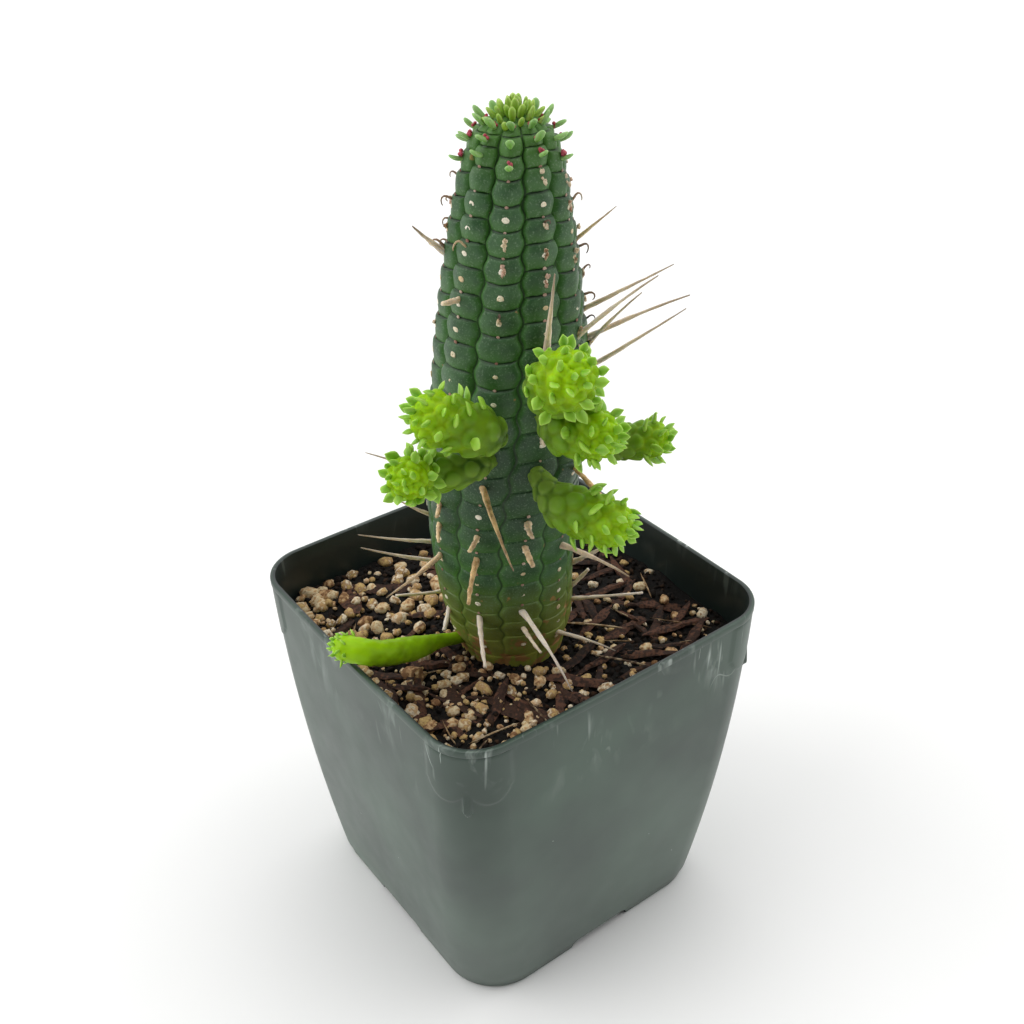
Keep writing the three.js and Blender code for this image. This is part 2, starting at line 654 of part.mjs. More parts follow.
// Spots scattered over the soil, none nearer to another than their sizes allow
function scatter(count, sizes, crowding, taken, random) {
  const reach = potOutline(SOIL_LEVEL).half - POT_WALL - 1;
  const made = [];
  for (let tries = 0; made.length < count && tries < 6000; tries += 1) {
    const size = THREE.MathUtils.lerp(sizes[0], sizes[1], random());
    const spot = new THREE.Vector2(2 * reach * (random() - 0.5), 2 * reach * (random() - 0.5));
    const fromStem = Math.hypot(spot.x - STEM_FOOT.x, spot.y - STEM_FOOT.y);
    const free = taken.every((other) => other.spot.distanceTo(spot) > crowding * (other.size + size));
    if (fromStem > STEM_CLEARING + size / 2 && free) {
      taken.push({ spot, size });
      made.push({ spot, size });
    }
  }
  return made;
}

// A rough grain of pumice, half sunk
function stone({ spot, size }, random) {
  const isGrit = size < STONE_SIZES[0];
  const geometry = isGrit ? new THREE.OctahedronGeometry(1.1, 0) : new THREE.IcosahedronGeometry(1, 0);
  geometry.rotateX(3 * random());
  geometry.scale(size, size * (0.62 + 0.25 * random()), size * (0.55 + 0.2 * random()));
  geometry.rotateY(0.5 * (random() - 0.5));
  geometry.rotateZ(Math.PI * random());
  geometry.translate(spot.x, spot.y, SOIL_LEVEL + size * 0.12);
  return toSolid(geometry);
}

// A flat flake of bark with uneven ends, lying a little tilted
function barkChip({ spot, size }, random) {
  const half = size;
  const wide = half * (0.3 + 0.15 * random());
  const outline = new THREE.Shape([
    new THREE.Vector2(-half, -wide * random()),
    new THREE.Vector2(half * 0.7, -wide),
    new THREE.Vector2(half, wide * (random() - 0.3)),
    new THREE.Vector2(half * 0.2, wide),
    new THREE.Vector2(-half * 0.8, wide * 0.7),
  ]);
  const geometry = new THREE.ExtrudeGeometry(outline, { depth: CHIP_THICKNESS, bevelEnabled: false });
  geometry.rotateX(0.35 * (random() - 0.5));
  geometry.rotateY(0.3 * (random() - 0.5));
  geometry.rotateZ(2 * Math.PI * random());
  geometry.translate(spot.x, spot.y, SOIL_LEVEL - CHIP_THICKNESS * 0.45);
  return toSolid(geometry);
}

// The plain hole that the stem stands in
function rootHole() {
  const sides = 20;
  const heights = [STEM_ROOT_END - CLEARANCE, 60, SOIL_LEVEL - 4, SOIL_LEVEL, SOIL_LEVEL + 8];
  const rings = heights.map((height) => {
    const middle = stemMiddle(height);
    const radius = smooth(GIRTH, height) + CLEARANCE + SPARE;
    return rootRing(height, sides, 0).map((point) => point.sub(middle).setLength(radius).add(middle));
  });
  return toSolid(loft(rings));
}

function makeSoil(aboveRoom) {
  const random = seeded(SEEDS.soil);
  const floorTop = FLOOR_UNDERSIDE + FLOOR_THICKNESS;
  const taken = [];
  const chipSizes = CHIP_LENGTHS.map((length) => length / 2);
  const chips = scatter(CHIP_COUNT, chipSizes, CHIP_CROWDING, taken, random)
    .map((spot) => barkChip(spot, random));
  const stones = scatter(STONE_COUNT, STONE_SIZES, STONE_CROWDING, taken, random);
  stones.push(...scatter(GRIT_COUNT, GRIT_SIZES, STONE_CROWDING, taken, random));
  const bed = potInside(floorTop + CLEARANCE, SOIL_LEVEL, CLEARANCE);
  const allowed = potInside(floorTop + CLEARANCE, SOIL_LEVEL + 8, CLEARANCE);
  return join([bed, ...chips, ...stones.map((spot) => stone(spot, random))])
    .intersect(allowed)
    .subtract(rootHole())
    .subtract(aboveRoom);
}

// ---- The whole plant in its pot ----

const group = new THREE.Group();
group.position.x = FOOTPRINT_SHIFT;

function place(name, solid, colour, roughness) {
  const material = new THREE.MeshStandardMaterial({ color: colour, roughness, flatShading: true });
  const mesh = new THREE.Mesh(toGeometry(solid), material);
  mesh.name = name;
  group.add(mesh);
}

const shootSolids = makeShoots();
const overSoil = stalkRoom().add(shootRoom(SHOOTS[SHOOTS.length - 1]));

place("pot", makePot(), COLOURS.pot, 0.45);
place("soil", makeSoil(overSoil), COLOURS.soil, 0.95);
place("main_stem", makeStem(), COLOURS.stem, 0.55);
SHOOTS.forEach((shoot, i) => place(shoot.name, shootSolids[i], COLOURS.shoot, 0.5));

export default group;
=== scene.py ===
# %% [markdown]
# # A ribbed spurge in a square nursery pot
#
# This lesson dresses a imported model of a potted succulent: a ribbed green stem with leafy side shoots and
# dried flower stalks, in gritty soil, in a dark plastic pot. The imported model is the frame. It fixes the size
# and the place of every piece, and each cell below replaces one of its plain solids by a finer one of the
# same form.

# %% Load the frame
import json
import math
from functools import partial

import bmesh
import bpy
import numpy as np
from mathutils import Matrix, Vector, noise

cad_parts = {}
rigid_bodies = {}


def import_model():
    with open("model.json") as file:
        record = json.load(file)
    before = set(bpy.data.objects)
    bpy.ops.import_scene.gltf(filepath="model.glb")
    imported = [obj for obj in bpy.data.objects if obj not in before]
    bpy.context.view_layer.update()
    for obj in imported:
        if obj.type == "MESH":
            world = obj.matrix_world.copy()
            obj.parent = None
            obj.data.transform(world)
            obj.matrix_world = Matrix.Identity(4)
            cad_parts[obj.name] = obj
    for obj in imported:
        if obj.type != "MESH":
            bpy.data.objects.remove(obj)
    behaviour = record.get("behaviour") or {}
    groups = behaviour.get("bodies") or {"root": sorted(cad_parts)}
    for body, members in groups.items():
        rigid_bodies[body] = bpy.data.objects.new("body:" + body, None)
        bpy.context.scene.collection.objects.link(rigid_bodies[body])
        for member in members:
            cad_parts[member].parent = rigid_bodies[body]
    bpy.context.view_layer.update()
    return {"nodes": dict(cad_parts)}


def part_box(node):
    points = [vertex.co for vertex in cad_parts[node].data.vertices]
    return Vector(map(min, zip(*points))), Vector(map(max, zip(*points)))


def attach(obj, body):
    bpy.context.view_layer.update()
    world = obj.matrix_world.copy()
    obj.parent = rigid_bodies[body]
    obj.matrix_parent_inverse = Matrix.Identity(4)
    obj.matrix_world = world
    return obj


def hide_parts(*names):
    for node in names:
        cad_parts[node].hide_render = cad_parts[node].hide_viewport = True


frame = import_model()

MM = 0.001
scene = bpy.context.scene
pot_low, pot_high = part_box("pot")
MIDDLE = Vector(((pot_low.x + pot_high.x) / 2, (pot_low.y + pot_high.y) / 2, 0))
print("nodes in the frame:", sorted(frame["nodes"]))
print("the pot's middle in mm:", [round(c / MM, 2) for c in MIDDLE])

# %% [markdown]
# ## Helpers
#
# Colours are written as sRGB hex codes, as a paint chart gives them, and turned to linear values in one
# place. Every node of every tree below, for materials and for shapes, comes from one small function, so a
# tree reads as a list of steps. Its inputs are fed in order, or by name with a capital letter, and a name in
# small letters is one of the node's settings.

# %% Colours and nodes
NODE_FAMILIES = ("GeometryNode", "ShaderNode", "FunctionNode", "Node")


def colour(code):
    """An sRGB hex code as a linear colour."""
    channels = [int(code[start : start + 2], 16) / 255 for start in (0, 2, 4)]
    return (*(c / 12.92 if c <= 0.04045 else ((c + 0.055) / 1.055) ** 2.4 for c in channels), 1.0)


def feed(node, *values, **named):
    """Feeds a node's open inputs, in order or by name, with numbers, nodes or their sockets."""
    inputs = [socket for socket in node.inputs if socket.enabled]
    by_name = {socket.name.replace(" ", "_"): socket for socket in reversed(inputs)}
    for target, value in (*zip(inputs, values), *((by_name[name], value) for name, value in named.items())):
        if isinstance(value, bpy.types.Node):
            value = next(socket for socket in value.outputs if socket.enabled)
        if isinstance(value, bpy.types.NodeSocket):
            node.id_data.links.new(value, target)
        else:
            target.default_value = value


def add(tree, kind, *values, **named):
    """A new node of a kind and operation, such as "Math ADD", with its settings and feeds.

    Values beyond its inputs go to further nodes like it, so a sum or a product may have many members.
    """
    kind_name, _, operation = kind.partition(" ")
    family = next(family for family in NODE_FAMILIES if hasattr(bpy.types, family + kind_name))
    node = tree.nodes.new(family + kind_name)
    settings = {name: value for name, value in named.items() if name[0].islower()}
    for name, value in settings.items():
        setattr(node, name, value)
    if operation:
        node.operation = operation
    room = len([socket for socket in node.inputs if socket.enabled])
    feed(node, *values[:room], **{name: value for name, value in named.items() if name not in settings})
    return add(tree, kind, node, *values[room:], **settings) if values[room:] else node


def paint(ramp, stops):
    """Gives a colour ramp its stops: a place from 0 to 1 and an sRGB code for each."""
    elements = ramp.color_ramp.elements
    while len(elements) < len(stops):
        elements.new(0.5)
    for element, (place, code) in zip(elements, stops):
        element.position, element.color = place, colour(code)
    return ramp


print("a mid grey in linear light:", round(colour("808080")[0], 3))

# %% [markdown]
# Meshes made in code are rings of points with a skin between them. A ring runs counter-clockwise seen from
# the ring that follows, so the skin faces outwards, and the two end rings are closed by one face each.

# %% Meshes
def put_in(mesh, name, collection=None):
    """An object for a mesh, smooth, in a collection or in the scene."""
    mesh.shade_smooth()
    piece = bpy.data.objects.new(name, mesh)
    (collection or scene.collection).objects.link(piece)
    return piece


def new_mesh(name, points, edges=(), faces=(), columns=None):
    """A mesh of points, edges and faces, whose points may carry named numbers for a shape tree to read."""
    mesh = bpy.data.meshes.new(name)
    mesh.from_pydata([tuple(point) for point in points], edges, faces)
    for label, values in (columns or {}).items():
        mesh.attributes.new(label, "FLOAT", "POINT").data.foreach_set("value", values)
    return mesh


def new_piece(name, rings, collection=None, columns=None):
    """An object whose mesh is a closed skin through equal rings of points in metres."""
    count, total = len(rings[0]), len(rings[0]) * len(rings)
    faces = [
        (start + i, start + (i + 1) % count, start + count + (i + 1) % count, start + count + i)
        for start in range(0, total - count, count) for i in range(count)
    ]
    faces += [tuple(range(count - 1, -1, -1)), tuple(range(total - count, total))]
    points = [point for ring in rings for point in ring]
    return put_in(new_mesh(name, points, [], faces, columns), name, collection)


def settle(piece):
    """Turns a piece with modifiers into the plain mesh that they make."""
    mesh = bpy.data.meshes.new_from_object(piece.evaluated_get(bpy.context.evaluated_depsgraph_get()))
    piece.modifiers.clear()
    piece.data = mesh
    mesh.name = piece.name
    mesh.shade_smooth()


print("collection that the pieces stand in:", scene.collection.name)

# %% [markdown]
# What repeats or follows a rule is made by a shape tree, which Blender calls Geometry Nodes. Each tree is
# built once, with named inputs, and runs on a carrier object with values of its own for them. The carrier's
# evaluated mesh then becomes the piece, as plain mesh, and the modifier goes.

# %% Shape trees
SOCKET_KINDS = {float: "Float", int: "Int", str: "Geometry"}  # by the value that an input starts with


def new_tree(name, inputs, **outputs):
    """A shape tree with named inputs and their values. Returns what adds nodes to it, and its inputs."""
    tree = bpy.data.node_groups.new(name, "GeometryNodeTree")
    for label, value in inputs.items():
        socket_type = "NodeSocket" + SOCKET_KINDS[type(value)]
        socket = tree.interface.new_socket(label, in_out="INPUT", socket_type=socket_type)
        if not isinstance(value, str):
            socket.default_value = value
    for label, kind in (outputs or {"Geometry": "Geometry"}).items():
        tree.interface.new_socket(label, in_out="OUTPUT", socket_type="NodeSocket" + kind)
    return partial(add, tree), tree.nodes.new("NodeGroupInput").outputs


def run_tree(name, tree, values, source=None, millimetres=(), degrees=()):
    """A piece made by a shape tree, from a source mesh or nothing. Labels say which values have units."""
    values = {label.replace("_", " ").title(): value for label, value in values.items()}
    values |= {label: values.get(label, 0) * MM for label in millimetres}
    values |= {label: math.radians(values.get(label, 0)) for label in degrees}
    piece = put_in(source or bpy.data.meshes.new(name), name)
    modifier = piece.modifiers.new("shape", "NODES")
    modifier.node_group = tree
    for item in tree.interface.items_tree:
        if item.in_out == "INPUT" and item.name in values:
            modifier[item.identifier] = values[item.name]
    settle(piece)
    print(f"{name}: {sum(len(face.vertices) - 2 for face in piece.data.polygons)} triangles")
    return piece


print("kinds of input:", ", ".join(SOCKET_KINDS.values()))

# %% [markdown]
# Where code rather than a tree draws at random, it uses a small generator of its own. The frame scattered
# its chips and stones with the same one, so the same seed gives the same places here.

# %% Numbers
def seeded(seed):
    """A number generator that gives the same run for the same seed, on any machine."""
    state = seed
    full = 0xFFFFFFFF

    def draw():
        nonlocal state
        state = (state + 0x6D2B79F5) & full
        mixed = ((state ^ (state >> 15)) * (1 | state)) & full
        mixed = ((mixed + ((mixed ^ (mixed >> 7)) * (61 | mixed))) ^ mixed) & full
        return (mixed ^ (mixed >> 14)) / 4294967296

    return draw


def mix(low, high, share):
    """The value at a share of the way from low to high."""
    return low + (high - low) * share


print("first draw of seed 5:", round(seeded(5)(), 4))

# %% [markdown]
# ## Camera, light and floor
#
# The viewpoint was worked out from the pot's rim, sides and foot in the photograph: about 28 cm away, looking
# down by 32 degrees on the pot's front corner. The light is that of a white studio tent: bright walls and
# roof, a darker open front where the camera stands, and three far soft lamps: a key light from the left, a
# weaker one that fills in from the right, and a wide one above. The Standard view keeps the white of the card
# and the greens as they are.

# %% Camera
CAMERA_TURN = math.radians(-35.917)  # from looking along +Y, towards +X
CAMERA_DROP = math.radians(32.288)  # looking down
CAMERA_ROLL = math.radians(-1.332)
CAMERA_DISTANCE = 278.67 * MM
CAMERA_AIM_HEIGHT = 108.71 * MM
CAMERA_SIDESTEP = 1.57 * MM
CAMERA_LENS = 42.77  # millimetres, on a 36 mm sensor


def make_camera():
    """A camera at the photograph's viewpoint."""
    level = math.cos(CAMERA_DROP)
    back = Vector((math.sin(CAMERA_TURN) * level, -math.cos(CAMERA_TURN) * level, math.sin(CAMERA_DROP)))
    right = Vector((math.cos(CAMERA_TURN), math.sin(CAMERA_TURN), 0))
    up = back.cross(right)
    aim = MIDDLE + right * CAMERA_SIDESTEP + Vector((0, 0, CAMERA_AIM_HEIGHT))
    across = right * math.cos(CAMERA_ROLL) + up * math.sin(CAMERA_ROLL)
    upright = up * math.cos(CAMERA_ROLL) - right * math.sin(CAMERA_ROLL)
    data = bpy.data.cameras.new("viewpoint")
    data.lens = CAMERA_LENS
    data.sensor_width = 36
    data.clip_start = 0.01
    camera = bpy.data.objects.new("viewpoint", data)
    turn = Matrix((across, upright, back)).transposed().to_4x4()
    camera.matrix_world = Matrix.Translation(aim + back * CAMERA_DISTANCE) @ turn
    scene.collection.objects.link(camera)
    return camera


scene.camera = make_camera()
print("camera at mm:", [round(c / MM) for c in scene.camera.matrix_world.translation])

# %% Light and floor
SURROUND_SIDES = 1.04  # brightness of the tent's walls and roof
SURROUND_FRONT = 0.06  # and of its open front, behind the camera
# Each lamp: the way its light travels, its strength in watts per square metre, how wide it looks in degrees
LAMPS = {
    "key": ((0.9, -0.4, -0.8), 1.25, 50),
    "fill": ((-0.7, 0.7, -0.9), 0.5, 60),
    "top": ((-0.1, 0.0, -1.0), 0.85, 60),
}
FLOOR_HALF = 3.0
FLOOR_DROP = 0.05 * MM  # below the pot's foot


def make_surround():
    """A white tent that is open, and so darker, on the camera's side."""
    world = bpy.data.worlds.new("studio_tent")
    world.use_nodes = True
    put = partial(add, world.node_tree)
    front = (math.sin(CAMERA_TURN), -math.cos(CAMERA_TURN), 0.25)
    facing = put("VectorMath DOT_PRODUCT", put("TexCoord").outputs["Generated"], front)
    strength = put("MapRange", interpolation_type="SMOOTHSTEP", Value=facing, From_Min=0.05, From_Max=0.65,
                   To_Min=SURROUND_SIDES, To_Max=SURROUND_FRONT)
    feed(world.node_tree.nodes["Background"], Color=(1, 1, 1, 1), Strength=strength)
    scene.world = world


def make_floor():
    """A wide pale sheet of card, just below the pot's foot."""
    material = bpy.data.materials.new("matt_white_card")
    material.use_nodes = True
    feed(material.node_tree.nodes["Principled BSDF"], Base_Color=colour("f3f3f2"), Roughness=0.8)
    corners = [(x * FLOOR_HALF, y * FLOOR_HALF, -FLOOR_DROP) for x, y in ((-1, -1), (1, -1), (1, 1), (-1, 1))]
    mesh = new_mesh("floor", corners, [], [(0, 1, 2, 3)])
    mesh.materials.append(material)
    floor = bpy.data.objects.new("floor", mesh)
    scene.collection.objects.link(floor)


make_surround()
make_floor()
for name, (heading, strength, width) in LAMPS.items():
    # Such a far lamp is as strong on the floor as on the plant
    data = bpy.data.lights.new(name, "SUN")
    data.energy = strength
    data.angle = math.radians(width)
    lamp = bpy.data.objects.new(name, data)
    lamp.matrix_world = Vector(heading).to_track_quat("-Z", "Y").to_matrix().to_4x4()
    scene.collection.objects.link(lamp)
scene.view_settings.view_transform = "Standard"
print("lamps:", ", ".join(LAMPS))

# %% [markdown]
# ## The pot
#
# A nursery pot is thin polypropylene, moulded in one shot. Its walls taper and swell a little, a low step
# runs round the foot, four shallow notches let water out, and each corner has two shallow lobes and a wedge
# rib under the lip, which keep stacked pots from jamming. The whole section is one closed skin of rings: out
# from the middle of the underside, round the foot, up the wall, over the lip and down to the middle of the
# floor inside. Rings and points stand closer together where the lobes and the wedge need them.

# %% Sizes of the pot
POT_WIDTH = (pot_high.x - pot_low.x) / MM - 1  # across the lip at the corners, without the bow of the sides
POT_HEIGHT = pot_high.z / MM
POT_FOOT_WIDTH = 74
CORNER_AT_RIM = 11.4
CORNER_AT_FOOT = 14
WALL_SWELL = 1.5
SIDE_BOW = 0.5
WALL = 1.1
LIP_HEIGHT = 1.8
LIP_OUT = 0.4
FOOT_STEP = 3.2
FOOT_STEP_IN = 0.4
FOOT_SKIRT = 2.4
UNDERSIDE = 2.5
FLOOR_TOP = 4.0

WEDGE_DROP = 17.5  # below the rim
WEDGE_START = 11.0
WEDGE_HALF = 1.25
WEDGE_STAND = 0.85
LOBE_MIDDLE = 4.9  # round the corner from the wedge
LOBE_HALF = 5.4
LOBE_ENDS = (9, 16)  # below the rim, at its sides and in its middle
LOBE_STAND = 0.25
print("the pot is", round(POT_WIDTH, 1), "mm wide and", round(POT_HEIGHT, 1), "mm high")

# %% [markdown]
# A ring round the pot is four arcs and four slightly bowed sides. The stacking lobes and the wedge are a
# relief that is added to the wall, so the same rule draws the outside, the inside, the floor and the soil.

# %% Outline of the pot
def ease(value, start, end):
    """0 before start, 1 after end, smooth in between."""
    share = min(max((value - start) / (end - start), 0), 1)
    return share * share * (3 - 2 * share)


def corner_relief(along, drop):
    """How far the stacking lobes and the wedge stand out, along the wall from a corner and below the rim."""
    reach = 1 - ((abs(along) - LOBE_MIDDLE) / LOBE_HALF) ** 2
    lowest = mix(*LOBE_ENDS, math.sqrt(max(reach, 0)))
    lobe = ease(reach, 0, 0.16) * (1 - ease(drop, lowest - 0.5, lowest)) * ease(drop, 1.6, 2.6)
    taper = min(max((drop - WEDGE_START) / (WEDGE_DROP - WEDGE_START), 0), 1)
    tip = ease(WEDGE_DROP + 1.8 - drop - 1.1 * abs(along), 0, 0.7)
    wedge = (1 - ease(abs(along), WEDGE_HALF - 0.65, WEDGE_HALF)) * tip * taper
    return max(LOBE_STAND * lobe, WEDGE_STAND * wedge)


def pot_half(height):
    """Half the pot's outside width at a height, without the bow of its sides."""
    rise = min(max(height / POT_HEIGHT, 0), 1)
    return mix(POT_FOOT_WIDTH / 2, POT_WIDTH / 2 - LIP_OUT, rise) + WALL_SWELL * 4 * rise * (1 - rise)


def pot_ring(height, inset, corner_turns, side_shares, relief=False):
    """Points round the pot at one height, counter-clockwise, set in from the plain outside wall."""
    rise = min(max(height / POT_HEIGHT, 0), 1)
    half = pot_half(height)
    corner = mix(CORNER_AT_FOOT, CORNER_AT_RIM, rise)
    flat = half - corner
    ring = []
    for quarter in range(4):
        turn = Matrix.Rotation(quarter * math.pi / 2, 2)
        for angle in corner_turns:
            direction = Vector((math.cos(math.pi / 4 + angle), math.sin(math.pi / 4 + angle)))
            stand = corner_relief(angle * corner, POT_HEIGHT - height) if relief else 0
            ring.append(turn @ (Vector((flat, flat)) + direction * (corner - inset + stand)))
        for share in side_shares:
            across = 1 - 2 * share
            along = math.pi / 4 * corner + flat * min(share, 1 - share) * 2
            stand = corner_relief(along, POT_HEIGHT - height) if relief else 0
            out = half - inset + SIDE_BOW * rise * (1 - across * across) + stand
            ring.append(turn @ Vector((flat * across, out)))
    return [MIDDLE + Vector((point.x, point.y, height)) * MM for point in ring]


TURNS = (0, 1.5, 3, 4.2, 5.2, 6.3, 8, 11, 14, 17, 20, 23, 26, 29, 32, 35, 38, 41, 43, 45)
FINE_TURNS = sorted({sign * math.radians(degrees) for sign in (-1, 1) for degrees in TURNS})
FINE_SIDES = [0.008, 0.018, 0.03, 0.05, 0.1, 0.2, 0.3, 0.4, 0.5, 0.6, 0.7, 0.8, 0.9, 0.95, 0.97, 0.982, 0.992]
print("relief of the wedge in mm:", round(corner_relief(0, WEDGE_DROP), 2))

# %% Shell of the pot
LIP = POT_HEIGHT - LIP_HEIGHT
FLOOR_RING = 20  # inset of the ring half way to the middle of the floor
LAST_RING = POT_FOOT_WIDTH / 2 - 0.2
# Height and inset of each ring, from the middle of the underside to the middle of the floor inside
POT_SECTION = [
    # Underside, foot and step
    (UNDERSIDE, LAST_RING), (UNDERSIDE, FLOOR_RING), (UNDERSIDE, FOOT_SKIRT + 0.2),
    (UNDERSIDE - 0.3, FOOT_SKIRT), (0.2, FOOT_SKIRT), (0, FOOT_SKIRT - 0.2), (0, 1.0), (0.1, 0.7), (0.4, 0.5),
    (FOOT_STEP - 0.3, FOOT_STEP_IN), (FOOT_STEP - 0.05, FOOT_STEP_IN), (FOOT_STEP + 0.15, 0.05),
    # Wall, with finer rings where the lobes are
    *((height, 0) for height in np.linspace(FOOT_STEP + 0.4, POT_HEIGHT - 21, 22)),
    *((height, 0) for height in np.linspace(POT_HEIGHT - 20.7, LIP - 0.5, 46)),
    # Lip: its outside, its top and its inside
    (LIP - 0.15, 0), (LIP + 0.1, -LIP_OUT + 0.05), (LIP + 0.35, -LIP_OUT), (POT_HEIGHT - 0.45, -LIP_OUT),
    (POT_HEIGHT - 0.15, -LIP_OUT + 0.12), (POT_HEIGHT, -LIP_OUT + 0.42), (POT_HEIGHT, 0.55),
    (POT_HEIGHT - 0.12, 0.85), (POT_HEIGHT - 0.4, 0.98), (LIP, 1.0), (LIP - 0.25, WALL),
    # Inside and floor
    *((height, WALL) for height in np.linspace(LIP - 3, FLOOR_TOP + 1.2, 18)),
    (FLOOR_TOP + 0.35, WALL + 0.25), (FLOOR_TOP, WALL + 1.0), (FLOOR_TOP, FLOOR_RING), (FLOOR_TOP, LAST_RING),
]


def shell_ring(height, inset):
    """One ring of the shell. Far in, a ring is drawn as the wall's own, shrunk towards the middle."""
    if inset < FLOOR_RING:
        return pot_ring(height, inset, FINE_TURNS, FINE_SIDES, relief=0 <= inset < 0.01)
    centre = MIDDLE + Vector((0, 0, height * MM))
    share = 1 - inset / (POT_FOOT_WIDTH / 2)
    return [centre.lerp(point, share) for point in pot_ring(height, WALL, FINE_TURNS, FINE_SIDES)]


pot_shell = new_piece("pot_shell", [shell_ring(*place) for place in POT_SECTION])
print("pot shell:", len(pot_shell.data.polygons), "faces")

# %% [markdown]
# The drainage notches run from side to side under the floor, and five round holes go through it. Solid
# cutters take them out of the shell with a Boolean modifier, as core pins leave them in the mould.

# %% Notches and drain holes
NOTCH_HALF = 9
NOTCH_ROUND = 2.1
DRAIN_RADIUS = 3.5
DRAIN_SPREAD = 20
SHARP_ANGLE = math.radians(38)


def notch_cutter(quarter):
    """A bar with rounded upper edges, from one side of the pot to the other."""
    turns = [step * math.pi / 12 for step in range(7)]
    side = [(NOTCH_HALF - NOTCH_ROUND * (1 - math.cos(a)), UNDERSIDE - NOTCH_ROUND * (1 - math.sin(a)))
            for a in turns]
    outline = [(-NOTCH_HALF, -1), (NOTCH_HALF, -1), *side, *((-x, z) for x, z in reversed(side))]
    turn = Matrix.Rotation(quarter * math.pi / 2, 3, "Z")
    return [[MIDDLE + turn @ Vector((x, y, z)) * MM for x, z in outline] for y in (POT_WIDTH, -POT_WIDTH)]


def drain_cutter(x, y):
    """A round pin through the floor."""
    turns = [step * math.pi / 16 for step in range(32)]
    circle = [(x + DRAIN_RADIUS * math.cos(turn), y + DRAIN_RADIUS * math.sin(turn)) for turn in turns]
    return [[MIDDLE + Vector((*spot, z)) * MM for spot in circle] for z in (UNDERSIDE - 1, FLOOR_TOP + 1)]


def cut_holes(piece):
    """Takes the notches and drain holes out of the shell."""
    ends = (-DRAIN_SPREAD, DRAIN_SPREAD)
    spots = [(0, 0), *((x, y) for x in ends for y in ends)]
    solids = [*map(notch_cutter, range(2)), *(drain_cutter(*spot) for spot in spots)]
    cutters = [new_piece(f"cutter_{i}", rings) for i, rings in enumerate(solids)]
    for cutter in cutters:
        modifier = piece.modifiers.new(cutter.name, "BOOLEAN")
        modifier.operation = "DIFFERENCE"
        modifier.solver = "EXACT"
        modifier.object = cutter
    settle(piece)
    for cutter in cutters:
        bpy.data.objects.remove(cutter)
    piece.data.set_sharp_from_angle(angle=SHARP_ANGLE)


cut_holes(pot_shell)
print("pot shell with its holes:", len(pot_shell.data.polygons), "faces")

# %% [markdown]
# ### Materials
#
# Every material reads Object coordinates, which keep its patterns in place on the piece, and some read
# attributes that a shape tree has left on the surface. Colours go over each other like glazes, each by a
# share of its own.

# %% Materials
def new_material(name, *attributes):
    """A material, what adds nodes to it, its shader, its Object coordinates and the attributes it reads."""
    material = bpy.data.materials.new(name)
    material.use_nodes = True
    put = partial(add, material.node_tree)
    place = put("TexCoord").outputs["Object"]
    numbers = (put("Attribute", attribute_name=label).outputs["Fac"] for label in attributes)
    return material, put, material.node_tree.nodes["Principled BSDF"], place, *numbers


def layered(put, base, layers):
    """Colours laid over a base, each where its own share says."""
    for share, code in layers:
        base = put("Mix", data_type="RGBA", Factor=share, A=base, B=colour(code))
    return base


print("materials so far:", len(bpy.data.materials))

# %% [markdown]
# ### Scuffed polypropylene
#
# The pot is grey-green polypropylene from a satin mould. Such plastic has an IOR of about 1.49 and a broad
# soft highlight. Watering leaves a thin white bloom of minerals in leaning swirls under the rim, handling
# leaves thin arcs, short strokes and specks, and mud that splashed up leaves a film at the foot. All of them
# are noise, stretched where the water or a finger ran, and together they lighten the plastic and make it
# matt. The inside stays bare, and its plastic is painted darker as painted shade.

# %% Pot plastic
SWIRL_LEAN = math.radians(28)
STROKE_LEAN = math.radians(24)


